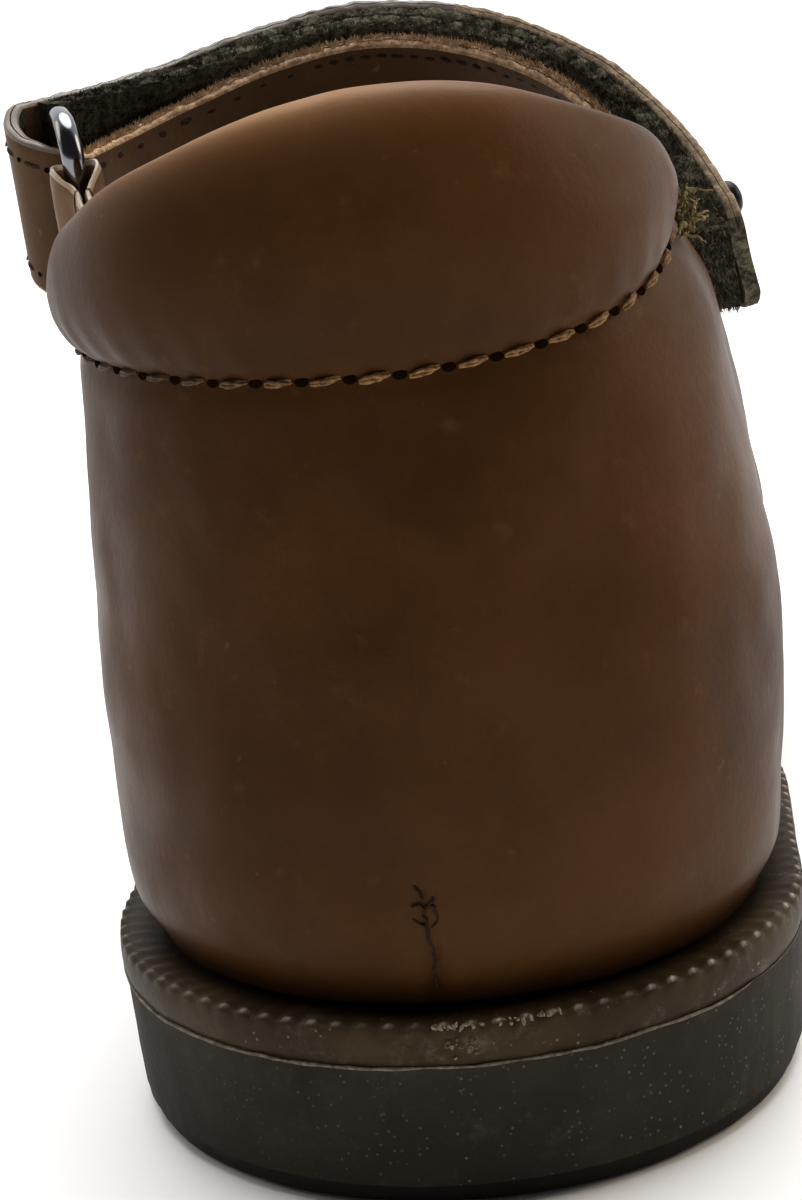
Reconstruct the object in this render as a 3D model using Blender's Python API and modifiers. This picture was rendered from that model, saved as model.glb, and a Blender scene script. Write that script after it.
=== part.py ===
"""A child's right sandal: closed heel, padded collar, ankle strap through a wire ring.

Sizes are millimetres and become metres where a mesh is made. "along" runs from the back
of the heel to the toe, "rise" from the top of the sole upwards, and +X is the outer side
of the foot. "girth" runs round the heel from the back seam, positive on the outer side.
"""
import math

import bmesh
import bpy
from mathutils import Matrix, Vector

MM = 0.001
OUTER = 1
INNER = -1

# Driving dimensions
LENGTH = 160.0
HEEL_RADIUS = 27.5
TOE_RADIUS = 36.0
WALL = 2.0
GAP = 0.3
STRAP_WIDTH = 13.4
STRAP_THICKNESS = 1.3
LOOP_THICKNESS = 1.1
HOOK_THICKNESS = 1.0
LAYER_GAP = 0.3
RING_WIRE = 1.9
CENTRE_SHIFT = 2.6
INSOLE_THICKNESS = 2.6
INSOLE_INSET = 6.3
INSOLE_TOE_INSET = 4.0

# Half width and ceiling of the cutters that open the upper
CUTTER_REACH = 60.0
CUTTER_CEILING = 130.0

# Points of every closed outline, on each side of the foot
HEEL_STEPS = 8
SIDE_STEPS = 12
TOE_STEPS = 7
EDGE_STEPS = 3


def table(columns, *rows):
    """Rows with named columns."""
    names = columns.split()
    return [dict(zip(names, row)) for row in rows]


SOLE = table(
    "along axis half parting deck",
    (0.0, 0.0, 27.5, 11.4, 14.6),
    (28.0, 0.0, 27.5, 11.4, 14.6),
    (46.0, 0.5, 27.5, 11.3, 14.5),
    (64.0, 0.9, 26.2, 10.3, 13.5),
    (82.0, 0.5, 27.6, 8.8, 11.9),
    (100.0, -1.0, 30.8, 7.7, 10.7),
    (118.0, -2.2, 33.2, 7.4, 10.4),
    (134.0, -3.4, 33.4, 8.4, 11.4),
    (148.0, -4.8, 31.6, 10.3, 13.3),
    (160.0, -6.0, 30.0, 12.6, 15.6),
)

# Underside: flat heel, raised waist, flat forefoot and toe spring
BASE = table(
    "along height",
    (0.0, 0.0),
    (46.0, 0.0),
    (55.0, 1.6),
    (66.0, 2.8),
    (78.0, 1.4),
    (88.0, 0.0),
    (124.0, 0.0),
    (136.0, 1.0),
    (148.0, 3.2),
    (160.0, 6.6),
)

# Rings of the outsole wall, bottom to top: where "up" is 1 the ring lies at the parting
OUTSOLE_WALL = table(
    "up above inset",
    (0.0, 0.0, 2.0),
    (0.0, 0.5, 1.2),
    (0.0, 1.8, 0.8),
    (1.0, -0.15, 0.3),
)
WELT_WALL = table(
    "up above inset",
    (0.0, 0.15, 0.3),
    (0.5, 0.0, 0.0),
    (1.0, -0.8, 0.4),
    (1.0, 0.0, 1.6),
)

# Horizontal sections of the last, at the outer face of the upper
UPPER = table(
    "rise back front nose tuck lean",
    (-2.0, 3.6, 156.5, 32.5, 3.5, 0.0),
    (0.0, 3.6, 156.5, 32.5, 3.5, 0.0),
    (4.0, 1.9, 158.5, 34.0, 1.8, 0.0),
    (9.0, 0.9, 158.0, 34.5, 1.4, 0.1),
    (15.0, 0.9, 153.0, 36.0, 1.0, 0.3),
    (20.0, 1.4, 144.5, 38.0, 0.9, 0.3),
    (25.0, 2.0, 133.0, 42.0, 1.1, 0.3),
    (30.0, 2.8, 120.0, 44.0, 1.55, 0.0),
    (35.0, 3.7, 106.0, 42.0, 1.95, -0.2),
    (40.0, 4.6, 94.0, 38.0, 2.6, -0.6),
    (46.0, 5.6, 84.0, 33.0, 3.3, -1.2),
    (52.0, 6.5, 77.0, 29.0, 5.2, -2.2),
    (58.0, 7.4, 72.0, 27.0, 6.7, -2.7),
    (64.0, 8.3, 69.0, 26.0, 7.5, -2.8),
    (71.0, 9.3, 67.0, 26.0, 8.2, -2.8),
)

UPPER_RISES = (-2, 0, 2, 4, 6.5, 9, 12, 15, 20, 25, 30, 35, 38, 41, 44, 47, 50, 53, 56, 59, 62, 65, 71)

# Edge of the upper seen from the side, from the heel over the waist to the instep
EDGE = table(
    "along outer inner",
    (-6.0, 76.8, 76.8),
    (7.6, 76.8, 76.8),
    (8.6, 76.9, 75.4),
    (10.8, 76.3, 73.4),
    (12.6, 75.5, 72.3),
    (14.7, 74.5, 71.2),
    (17.0, 73.5, 70.0),
    (20.0, 72.4, 68.7),
    (25.0, 71.1, 67.4),
    (31.0, 69.4, 66.5),
    (36.0, 65.2, 65.2),
    (37.4, 63.6, 63.0),
    (39.4, 61.2, 55.6),
    (42.0, 58.2, 52.0),
    (46.0, 53.2, 48.2),
    (51.0, 46.8, 43.6),
    (57.0, 39.0, 38.0),
    (63.0, 32.0, 32.6),
    (70.0, 26.6, 27.8),
    (78.0, 24.4, 24.8),
    (86.0, 25.4, 25.4),
    (91.0, 29.6, 29.6),
    (95.0, 37.0, 37.0),
    (98.0, 47.0, 47.0),
    (99.5, 64.0, 64.0),
)
TOE_EDGE = table(
    "along height",
    (122.0, 64.0),
    (122.5, 45.0),
    (124.0, 39.5),
    (127.5, 32.0),
    (131.5, 24.0),
    (134.5, 16.0),
    (136.5, 8.0),
    (137.0, -10.0),
)

# Padded collar, by its place round the heel
COLLAR = table(
    "girth low plump",
    (-42.5, 62.2, 0.3),
    (-41.0, 61.6, 0.55),
    (-37.0, 61.2, 0.7),
    (-28.0, 60.8, 0.75),
    (-18.0, 60.4, 0.9),
    (-9.0, 60.1, 1.0),
    (0.0, 60.1, 1.0),
    (9.0, 60.6, 1.0),
    (18.0, 61.9, 0.9),
    (27.0, 64.3, 0.75),
    (32.0, 66.1, 0.7),
    (34.5, 67.2, 0.55),
    (36.0, 68.0, 0.3),
)
COLLAR_STATIONS = 41
RIM_BELOW_COLLAR_TOP = 2.3
SEAM_BLEND = 6.0

# Section of the collar: "up" is 0 at its low edge and 1 at its top, "off" is measured
# outwards from the outer face of the upper
COLLAR_OUTSIDE = table(
    "up off",
    (0.0, 0.9),
    (0.14, 2.0),
    (0.38, 2.8),
    (0.66, 2.8),
    (0.88, 2.2),
    (1.0, 0.6),
    (1.0, -1.4),
    (0.92, -3.2),
    (0.78, -3.9),
    (0.60, -3.5),
)

# Ankle strap: foot side of its top edge, from the outer end to the ring. "tilt" leans the
# width forward, "lift" and "out" are how much higher and further out the return run lies
STRAP = table(
    "x along height tilt lift out",
    (18.6, 33.0, 55.6, 40.0, 0.0, 5.6),
    (18.9, 38.5, 60.0, 40.0, 0.0, 4.0),
    (18.7, 44.5, 64.6, 40.0, 0.0, 2.2),
    (17.4, 51.0, 69.4, 40.0, 0.0, 0.3),
    (12.4, 57.3, 74.4, 38.0, 0.0, 0.0),
    (5.0, 61.0, 77.8, 36.0, 0.5, 0.0),
    (-3.5, 62.0, 79.2, 33.0, 0.9, 0.0),
    (-11.5, 60.8, 78.2, 26.0, 1.3, 0.1),
    (-18.5, 57.4, 76.0, 17.0, 2.1, 0.4),
    (-23.6, 52.4, 74.2, 11.0, 3.3, 1.1),
    (-26.4, 47.0, 73.2, 8.0, 4.1, 1.9),
)
STRAP_STEPS = 40
TAB_STEPS = 6
FOLD_STEPS = 6
RETURN_START = 13.0
LOOP_START = 19.0
TAPE_MARGIN = 0.3
TAPE_STEPS = 28
TAPE_END_MARGIN = 3.0
TAB_CORNER = 3.0
TAB_LOW_CORNER = 4.5
TAB_FLARE = 1.1
TAB_FLARE_LENGTH = 9.0

RING_LENGTH = 18.3
RING_REACH = 7.4
RING_CORNER = 3.0
RING_TOP_ABOVE_STRAP = 3.6
RING_BACK = (0.3, -0.95, 0.0)

KEEPER_WIDTH = 8.0
KEEPER_THICKNESS = 0.8
KEEPER_LEG = 5.2
KEEPER_PINCHED_FROM = 2.8
KEEPER_DROP = 3.2
KEEPER_PINCH = 1.1
KEEPER_SLOPE = 0.7

STUD_RADIUS = 1.5
STUD_HEIGHT = 1.2
STUD_FROM_END = 4.2
STUD_FROM_EDGE = 2.1

# Main lugs: grooves cut into the heel and the forefoot
GROOVE_WIDTH = 3.0
GROOVE_DEPTH = 1.8
GROOVE_MARGIN = 7.0
HEEL_GROOVES = (12.0, 21.5, 31.0, 40.5)
FOREFOOT_GROOVES = (90.0, 99.5, 109.0, 118.5, 128.0, 137.5, 147.0)


def read(rows, key, name, at):
    """Smooth value of a column that never overshoots its rows."""
    xs = [row[key] for row in rows]
    ys = [row[name] for row in rows]
    if at <= xs[0]:
        return ys[0]
    if at >= xs[-1]:
        return ys[-1]
    i = max(k for k in range(len(xs) - 1) if xs[k] <= at)
    step = xs[i + 1] - xs[i]
    t = (at - xs[i]) / step
    a = tangent(xs, ys, i) * step
    b = tangent(xs, ys, i + 1) * step
    h00 = 2 * t**3 - 3 * t**2 + 1
    h10 = t**3 - 2 * t**2 + t
    h01 = -2 * t**3 + 3 * t**2
    h11 = t**3 - t**2
    return h00 * ys[i] + h10 * a + h01 * ys[i + 1] + h11 * b


def tangent(xs, ys, i):
    """Slope at a row: the harmonic mean of its neighbours, or none at a turning point."""
    if i in (0, len(xs) - 1):
        return 0.0
    before = (ys[i] - ys[i - 1]) / (xs[i] - xs[i - 1])
    after = (ys[i + 1] - ys[i]) / (xs[i + 1] - xs[i])
    if before * after <= 0:
        return 0.0
    return 2 * before * after / (before + after)


def place(x, along, height):
    """A point in metres, with the origin under the middle of the sole."""
    return Vector((x + CENTRE_SHIFT, along - LENGTH / 2, height)) * MM


# Outlines

def outline(back, front, heel, toe):
    """Distance along and share of the full width, from the back point to the front one."""
    points = []
    for i in range(HEEL_STEPS):
        angle = math.pi / 2 * i / HEEL_STEPS
        points.append((back + heel * (1 - math.cos(angle)), math.sin(angle)))
    for i in range(SIDE_STEPS):
        points.append((back + heel + (front - toe - back - heel) * i / SIDE_STEPS, 1.0))
    for i in range(TOE_STEPS + 1):
        angle = math.pi / 2 * i / TOE_STEPS
        points.append((front - toe + toe * math.sin(angle), math.cos(angle)))
    return points


def ring_of_points(points, half, axis, height):
    """A closed ring: outer side from heel to toe, then the inner side back."""
    outer = [place(axis(a) + half(a) * share, a, height(a)) for a, share in points]
    inner = [place(axis(a) - half(a) * share, a, height(a)) for a, share in points[-2:0:-1]]
    return outer + inner


def sole_ring(low, high, row):
    """One ring of a sole layer between two height functions."""
    inset = row["inset"]
    points = outline(inset, LENGTH - inset, HEEL_RADIUS - inset, TOE_RADIUS - inset)

    def height(a):
        return low(a) + (high(a) - low(a)) * row["up"] + row["above"]

    return ring_of_points(points, lambda a: sole_half(a) - inset, sole_axis, height)


def sole_half(a):
    return read(SOLE, "along", "half", a)


def sole_axis(a):
    return read(SOLE, "along", "axis", a)


def base(a):
    return read(BASE, "along", "height", a)


def parting(a):
    return read(SOLE, "along", "parting", a)


def deck(a):
    return read(SOLE, "along", "deck", a)


# Mesh building

def mesh_object(name, vertices, faces):
    """A new object from vertices and faces, with its faces turned outwards."""
    mesh = bpy.data.meshes.new(name)
    mesh.from_pydata([tuple(v) for v in vertices], [], faces)
    bm = bmesh.new()
    bm.from_mesh(mesh)
    bmesh.ops.recalc_face_normals(bm, faces=bm.faces)
    bm.to_mesh(mesh)
    bm.free()
    obj = bpy.data.objects.new(name, mesh)
    PARTS.objects.link(obj)
    return obj


def loft_rings(name, rings, caps=True):
    """Join closed rings. The caps are strips from side to side of the foot."""
    count = len(rings[0])
    vertices = [point for ring in rings for point in ring]
    faces = []
    for r in range(len(rings) - 1):
        for i in range(count):
            j = (i + 1) % count
            faces.append((r * count + i, r * count + j, (r + 1) * count + j, (r + 1) * count + i))
    if caps:
        for start in (0, (len(rings) - 1) * count):
            for i in range(count // 2):
                a = start + i
                b = start + i + 1
                c = start + (count - i - 1) % count
                d = start + (count - i) % count
                corners = [a, b, c, d]
                faces.append([v for k, v in enumerate(corners) if v not in corners[:k]])
    return mesh_object(name, vertices, faces)


def loft_sections(name, sections):
    """Join sections, each a closed polygon, and close both ends."""
    count = len(sections[0])
    vertices = [point for section in sections for point in section]
    faces = []
    for s in range(len(sections) - 1):
        for i in range(count):
            j = (i + 1) % count
            faces.append((s * count + i, s * count + j, (s + 1) * count + j, (s + 1) * count + i))
    last = (len(sections) - 1) * count
    faces.append(list(range(count)))
    faces.append(list(range(last, last + count)))
    return mesh_object(name, vertices, faces)


def prism(name, outline_points, x_low, x_high):
    """A cutter whose side view is the given outline of (along, height)."""
    low = [place(x_low, a, z) for a, z in outline_points]
    high = [place(x_high, a, z) for a, z in outline_points]
    return as_cutter(loft_sections(name, [low, high]))


def as_cutter(obj):
    for collection in obj.users_collection:
        collection.objects.unlink(obj)
    CUTTERS.objects.link(obj)
    obj.hide_render = True
    obj.display_type = "WIRE"
    return obj


def cut(obj, cutter):
    modifier = obj.modifiers.new("cut " + cutter.name, "BOOLEAN")
    modifier.operation = "DIFFERENCE"
    modifier.solver = "EXACT"
    modifier.object = cutter


def material(name, colour, roughness, metallic=0.0):
    result = bpy.data.materials.new(name)
    result.use_nodes = True
    shader = result.node_tree.nodes["Principled BSDF"]
    shader.inputs["Base Color"].default_value = (*colour, 1.0)
    shader.inputs["Roughness"].default_value = roughness
    shader.inputs["Metallic"].default_value = metallic
    result.diffuse_color = (*colour, 1.0)
    return result


def finish(obj, surface, smooth_angle=40.0):
    obj.data.materials.append(surface)
    obj.data.shade_smooth()
    obj.data.set_sharp_from_angle(angle=math.radians(smooth_angle))
    return obj


# Sole

def make_outsole(rubber):
    rings = [sole_ring(base, parting, row) for row in OUTSOLE_WALL]
    obj = loft_rings("outsole", rings)
    for a in HEEL_GROOVES + FOREFOOT_GROOVES:
        cut(obj, groove(a))
    return finish(obj, rubber)


def groove(a):
    """A cutter box across the underside, clear of the outline on both sides."""
    toe_start = LENGTH - TOE_RADIUS
    share = 1.0
    if a < HEEL_RADIUS:
        share = math.sqrt(1 - (1 - a / HEEL_RADIUS) ** 2)
    elif a > toe_start:
        share = math.sqrt(1 - ((a - toe_start) / TOE_RADIUS) ** 2)
    half = sole_half(a) * share - GROOVE_MARGIN
    slope = math.atan2(base(a + 1) - base(a - 1), 2.0)
    box = bmesh.new()
    bmesh.ops.create_cube(box, size=1.0)
    mesh = bpy.data.meshes.new("groove")
    size = Matrix.Diagonal((2 * half * MM, GROOVE_WIDTH * MM, 2 * GROOVE_DEPTH * MM, 1.0))
    turn = Matrix.Rotation(slope, 4, "X")
    where = Matrix.Translation(place(sole_axis(a), a, base(a)))
    bmesh.ops.transform(box, matrix=where @ turn @ size, verts=box.verts)
    box.to_mesh(mesh)
    box.free()
    return as_cutter(bpy.data.objects.new(f"groove_{a:.0f}", mesh))


def make_welt(rubber):
    rings = [sole_ring(parting, deck, row) for row in WELT_WALL]
    return finish(loft_rings("welt", rings), rubber, 60.0)


def insole_inset(a):
    """Inside the upper's wall, and closer to the edge where the toe is open."""
    band_end = 139.0
    change = 8.0
    share = min(max((a - band_end) / change, 0.0), 1.0)
    return INSOLE_INSET + (INSOLE_TOE_INSET - INSOLE_INSET) * share


def make_insole(leather):
    """A footbed that rises round the heel and at the arch."""
    rows = table(
        "above inset",
        (GAP, 0.8),
        (GAP + 0.8, 0.0),
        (GAP + INSOLE_THICKNESS + 0.6, 0.2),
        (GAP + INSOLE_THICKNESS, 4.0),
    )
    rings = []
    for row in rows:
        def half(a, extra=row["inset"]):
            return sole_half(a) - insole_inset(a) - extra

        def height(a, above=row["above"]):
            return deck(a) + above

        back = INSOLE_INSET + row["inset"]
        front = LENGTH - INSOLE_TOE_INSET - row["inset"]
        heel = HEEL_RADIUS - INSOLE_INSET
        points = outline(back, front, heel, TOE_RADIUS - INSOLE_TOE_INSET)
        rings.append(ring_of_points(points, half, sole_axis, height))
    return finish(loft_rings("insole", rings), leather)


# Upper

def upper_section(rise):
    """The last's horizontal section at a height above the sole."""
    names = ("back", "front", "nose", "tuck", "lean")
    return {name: read(UPPER, "rise", name, rise) for name in names}


def make_upper(leather):
    rings = []
    for rise in UPPER_RISES:
        section = upper_section(rise)
        heel = HEEL_RADIUS - section["tuck"]
        points = outline(section["back"], section["front"], heel, section["nose"])

        def half(a, tuck=section["tuck"]):
            return sole_half(a) - tuck

        def axis(a, lean=section["lean"]):
            return sole_axis(a) + lean

        def height(a, rise=rise):
            return deck(a) + rise

        rings.append(ring_of_points(points, half, axis, height))
    obj = loft_rings("upper", rings, caps=False)
    shell = obj.modifiers.new("wall", "SOLIDIFY")
    shell.thickness = WALL * MM
    shell.offset = -1.0
    shell.use_even_offset = True
    seam = sole_axis(0.0) + upper_section(60.0)["lean"]
    cut(obj, throat_cutter("throat_outer", "outer", seam, CUTTER_REACH))
    cut(obj, throat_cutter("throat_inner", "inner", -CUTTER_REACH, seam))
    cut(obj, toe_cutter())
    cut(obj, deck_cutter())
    return finish(obj, leather)


def throat_cutter(name, side, x_low, x_high):
    """Everything above the upper's edge, from the heel to the instep."""
    first = EDGE[0]["along"]
    last = EDGE[-1]["along"]
    edge = []
    for row, after in zip(EDGE, EDGE[1:]):
        for i in range(EDGE_STEPS):
            a = row["along"] + (after["along"] - row["along"]) * i / EDGE_STEPS
            edge.append((a, read(EDGE, "along", side, a)))
    edge.append((last, EDGE[-1][side]))
    above = [(last, CUTTER_CEILING), (first, CUTTER_CEILING)]
    return prism(name, edge + above, x_low, x_high)


def toe_cutter():
    """Everything in front of the forefoot band."""
    edge = [(row["along"], row["height"]) for row in TOE_EDGE]
    ahead = LENGTH + 40.0
    front = [(ahead, TOE_EDGE[-1]["height"]), (ahead, TOE_EDGE[0]["height"])]
    return prism("toe_opening", edge + front, -CUTTER_REACH, CUTTER_REACH)


def deck_cutter():
    """Everything below the top of the sole."""
    steps = 24
    margin = 10.0
    floor = -20.0
    line = []
    for i in range(steps + 1):
        a = -margin + (LENGTH + 2 * margin) * i / steps
        line.append((a, deck(a) + GAP))
    below = [(LENGTH + margin, floor), (-margin, floor)]
    return prism("deck_plane", line + below, -CUTTER_REACH, CUTTER_REACH)


def heel_along(girth, rise):
    """How far along a point round the heel lies."""
    section = upper_section(rise)
    radius = HEEL_RADIUS - section["tuck"]
    angle = min(abs(girth) / radius, math.pi / 2)
    straight = max(abs(girth) - radius * math.pi / 2, 0.0)
    return section["back"] + radius * (1 - math.cos(angle)) + straight


def heel_point(girth, rise):
    """A point on the outer face of the upper, round the heel and along its sides."""
    section = upper_section(rise)
    radius = HEEL_RADIUS - section["tuck"]
    side = OUTER if girth >= 0 else INNER
    angle = min(abs(girth) / radius, math.pi / 2)
    a = heel_along(girth, rise)
    half = (sole_half(a) - section["tuck"]) * math.sin(angle)
    return place(sole_axis(a) + section["lean"] + side * half, a, deck(a) + rise)


def heel_normal(girth, rise):
    """Outward direction of the upper there."""
    step = 0.5
    across = heel_point(girth + step, rise) - heel_point(girth - step, rise)
    up = heel_point(girth, rise + step) - heel_point(girth, rise - step)
    return across.cross(up).normalized()


def rim_rise(girth):
    """How high the upper's own edge is there, found in a few rounds and even over the seam."""
    share = min(max(0.5 + 0.5 * girth / SEAM_BLEND, 0.0), 1.0)
    rise = 60.0
    for _ in range(6):
        a = heel_along(girth, rise)
        inner = read(EDGE, "along", "inner", a)
        outer = read(EDGE, "along", "outer", a)
        rise = inner + (outer - inner) * share - deck(0.0)
    return rise


def make_collar(leather):
    """The padded roll that sits over the upper's rim."""
    first = COLLAR[0]["girth"]
    last = COLLAR[-1]["girth"]
    sections = []
    for i in range(COLLAR_STATIONS):
        even = i / (COLLAR_STATIONS - 1)
        eased = 0.5 - 0.5 * math.cos(math.pi * even)
        share = 0.65 * even + 0.35 * eased
        sections.append(collar_section(first + (last - first) * share))
    return finish(loft_sections("collar", sections), leather, 60.0)


def collar_section(girth):
    """Pad outside, roll over the rim, short leg inside and the groove for the rim."""
    ground = deck(0.0)
    low = read(COLLAR, "girth", "low", girth) - ground
    rim = rim_rise(girth)
    top = rim + RIM_BELOW_COLLAR_TOP
    plump = read(COLLAR, "girth", "plump", girth)
    points = []
    for row in COLLAR_OUTSIDE:
        off = row["off"]
        if off > 0:
            off = GAP + (off - GAP) * plump
        points.append((low + (top - low) * row["up"], off))
    lip = low + (top - low) * COLLAR_OUTSIDE[-1]["up"]
    groove_top = max(rim + 2 * GAP, lip + GAP)
    points.append((lip, -WALL - GAP))
    points.append((groove_top, -WALL - GAP))
    points.append((groove_top, GAP))
    points.append((low, GAP))
    return [heel_point(girth, rise) + heel_normal(girth, rise) * off * MM for rise, off in points]


# Ankle strap

def strap_path():
    """Fine points of the strap's foot side at its top edge, and how far along each one lies."""
    fine = 400
    count = len(STRAP) - 1
    samples = []
    for i in range(fine + 1):
        samples.append(strap_row(count * i / fine))
    lengths = [0.0]
    for before, after in zip(samples, samples[1:]):
        lengths.append(lengths[-1] + (after[0] - before[0]).length / MM)
    return samples, lengths


def strap_row(position):
    """Smooth point, tilt, lift and out at a position counted in rows."""
    numbered = [dict(row, number=float(k)) for k, row in enumerate(STRAP)]
    values = {}
    for name in ("x", "along", "height", "tilt", "lift", "out"):
        values[name] = curve_value(numbered, name, position)
    point = place(values["x"], values["along"], values["height"])
    return point, values["tilt"], values["lift"], values["out"]


def curve_value(rows, name, position):
    """Cubic through the rows, for paths that may turn back."""
    i = min(int(position), len(rows) - 2)
    t = position - i
    p1 = rows[i][name]
    p2 = rows[i + 1][name]
    p0 = rows[i - 1][name] if i > 0 else 2 * p1 - p2
    p3 = rows[i + 2][name] if i + 2 < len(rows) else 2 * p2 - p1
    a = (p2 - p0) / 2
    b = (p3 - p1) / 2
    return (
        p1 * (2 * t**3 - 3 * t**2 + 1) + a * (t**3 - 2 * t**2 + t)
        + p2 * (3 * t**2 - 2 * t**3) + b * (t**3 - t**2)
    )


def strap_frame(path, distance):
    """Frame of the strap at a distance from its outer end."""
    samples, lengths = path
    total = lengths[-1]
    distance = min(max(distance, 0.0), total)
    k = max(i for i in range(len(lengths) - 1) if lengths[i] <= distance)
    t = (distance - lengths[k]) / (lengths[k + 1] - lengths[k])
    point = samples[k][0].lerp(samples[k + 1][0], t)
    tilt = math.radians(samples[k][1] * (1 - t) + samples[k + 1][1] * t)
    lift = samples[k][2] * (1 - t) + samples[k + 1][2] * t
    out = samples[k][3] * (1 - t) + samples[k + 1][3] * t
    low = max(k - 3, 0)
    high = min(k + 4, len(samples) - 1)
    forward = (samples[high][0] - samples[low][0]).normalized()
    width = Vector((0.0, math.sin(tilt), -math.cos(tilt)))
    width = (width - forward * width.dot(forward)).normalized()
    outward = width.cross(forward).normalized()
    return {
        "point": point, "width": width, "outward": outward, "forward": forward,
        "lift": lift, "out": out,
    }


def inner_section(frame, low, high, margin=0.0):
    """A rectangle across the inner run between two layer heights."""
    corners = []
    bottom = STRAP_WIDTH - margin
    for off, down in ((low, margin), (high, margin), (high, bottom), (low, bottom)):
        corners.append(frame["point"] + (frame["outward"] * off + frame["width"] * down) * MM)
    return corners


def return_section(path, distance, low, high, margin=0.0):
    """The same on the return run, with the tab's round corners and its flared low edge."""
    frame = strap_frame(path, distance)
    top = margin + tab_trim(distance, TAB_CORNER)
    bottom = STRAP_WIDTH - margin - tab_trim(distance, TAB_LOW_CORNER)
    corners = []
    for layer, down in ((low, top), (high, top), (high, bottom), (low, bottom)):
        off = layer + frame["out"] + tab_flare(distance) * down / STRAP_WIDTH
        shift = frame["outward"] * off + frame["width"] * (down - frame["lift"])
        corners.append(frame["point"] + shift * MM)
    return corners


def layer_heights():
    """Heights of the strap's layers above its foot side."""
    heights = {"inner": (0.0, STRAP_THICKNESS)}
    loop = STRAP_THICKNESS + LAYER_GAP
    heights["loop"] = (loop, loop + LOOP_THICKNESS)
    hook = loop + LOOP_THICKNESS + LAYER_GAP
    heights["hook"] = (hook, hook + HOOK_THICKNESS)
    outer = hook + HOOK_THICKNESS + LAYER_GAP
    heights["outer"] = (outer, outer + STRAP_THICKNESS)
    return heights


def tab_trim(distance, corner):
    """How much the rounded end takes off an edge of the tab."""
    ahead = min(max(distance - RETURN_START, 0.0), corner)
    return corner - math.sqrt(corner**2 - (corner - ahead) ** 2)


def tab_flare(distance):
    """How far the tab's low edge stands out from the foot."""
    t = min(max((distance - RETURN_START) / TAB_FLARE_LENGTH, 0.0), 1.0)
    return TAB_FLARE * (1 - 3 * t**2 + 2 * t**3)


def make_ankle_strap(path, leather):
    """One ribbon: under the outer wall, over the instep, round the ring and back."""
    total = path[1][-1]
    heights = layer_heights()
    sections = []
    for i in range(STRAP_STEPS + 1):
        frame = strap_frame(path, total * i / STRAP_STEPS)
        sections.append(inner_section(frame, heights["inner"][1], heights["inner"][0]))
    sections += fold_sections(strap_frame(path, total), heights)
    tab_start = RETURN_START + TAB_LOW_CORNER
    stops = [total + (tab_start - total) * i / STRAP_STEPS for i in range(STRAP_STEPS)]
    stops += [RETURN_START + TAB_LOW_CORNER * (1 - i / TAB_STEPS) ** 2 for i in range(TAB_STEPS + 1)]
    for distance in stops:
        sections.append(return_section(path, distance, *heights["outer"]))
    return finish(loft_sections("ankle_strap", sections), leather)


def fold_sections(frame, heights):
    """The half turn round the ring, rising by the lift of the return run."""
    low = heights["inner"][1]
    high = heights["outer"][0] + frame["out"]
    centre_off = (low + high) / 2
    tight = (high - low) / 2
    wide = tight + STRAP_THICKNESS
    sections = []
    for i in range(1, FOLD_STEPS):
        angle = math.pi * i / FOLD_STEPS
        away = frame["forward"] * math.sin(angle) - frame["outward"] * math.cos(angle)
        lift = frame["lift"] * i / FOLD_STEPS
        centre = frame["point"] + frame["outward"] * centre_off * MM
        corners = []
        for radius, down in ((tight, 0.0), (wide, 0.0), (wide, STRAP_WIDTH), (tight, STRAP_WIDTH)):
            corners.append(centre + (away * radius + frame["width"] * (down - lift)) * MM)
        sections.append(corners)
    return sections


def make_loop_tape(path, fabric):
    """The strip of pile tape on the inner run."""
    low, high = layer_heights()["loop"]
    end = path[1][-1] - TAPE_END_MARGIN
    sections = []
    for i in range(TAPE_STEPS + 1):
        frame = strap_frame(path, LOOP_START + (end - LOOP_START) * i / TAPE_STEPS)
        sections.append(inner_section(frame, low, high, TAPE_MARGIN))
    return finish(loft_sections("loop_tape", sections), fabric)


def make_hook_tape(path, fabric):
    """The strip of hook tape on the foot side of the return run."""
    low, high = layer_heights()["hook"]
    start = RETURN_START + 0.5
    end = path[1][-1] - TAPE_END_MARGIN
    sections = []
    for i in range(TAPE_STEPS + 1):
        distance = start + (end - start) * (i / TAPE_STEPS) ** 1.3
        sections.append(return_section(path, distance, low, high, TAPE_MARGIN))
    return finish(loft_sections("hook_tape", sections), fabric)


# Ring, keeper and stud

def ring_frame(path):
    """Middle of the ring's front bar, with the ring's own directions."""
    frame = strap_frame(path, path[1][-1])
    centre_off = STRAP_THICKNESS + RING_WIRE / 2 + 2 * GAP
    top = frame["point"] + (frame["outward"] * centre_off - frame["width"] * RING_TOP_ABOVE_STRAP) * MM
    down = frame["width"]
    back = Vector(RING_BACK)
    back = (back - down * back.dot(down)).normalized()
    return {"top": top, "down": down, "back": back, "across": down.cross(back)}


def make_ring(path, chrome):
    """A wire bent to a long ring with round corners."""
    frame = ring_frame(path)
    points = []
    corners = (
        (RING_CORNER, RING_CORNER, 180),
        (RING_REACH - RING_CORNER, RING_CORNER, 270),
        (RING_REACH - RING_CORNER, RING_LENGTH - RING_CORNER, 0),
        (RING_CORNER, RING_LENGTH - RING_CORNER, 90),
    )
    steps = 5
    for back, down, start in corners:
        for i in range(steps + 1):
            angle = math.radians(start + 90 * i / steps)
            across = back + RING_CORNER * math.cos(angle)
            along = down + RING_CORNER * math.sin(angle)
            points.append(frame["top"] + (frame["back"] * across + frame["down"] * along) * MM)
    curve = bpy.data.curves.new("ring", "CURVE")
    curve.dimensions = "3D"
    curve.bevel_depth = RING_WIRE / 2 * MM
    curve.bevel_resolution = 2
    spline = curve.splines.new("POLY")
    spline.points.add(len(points) - 1)
    for slot, point in zip(spline.points, points):
        slot.co = (*point, 1.0)
    spline.use_cyclic_u = True
    obj = bpy.data.objects.new("ring", curve)
    PARTS.objects.link(obj)
    curve.materials.append(chrome)
    return obj


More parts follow.
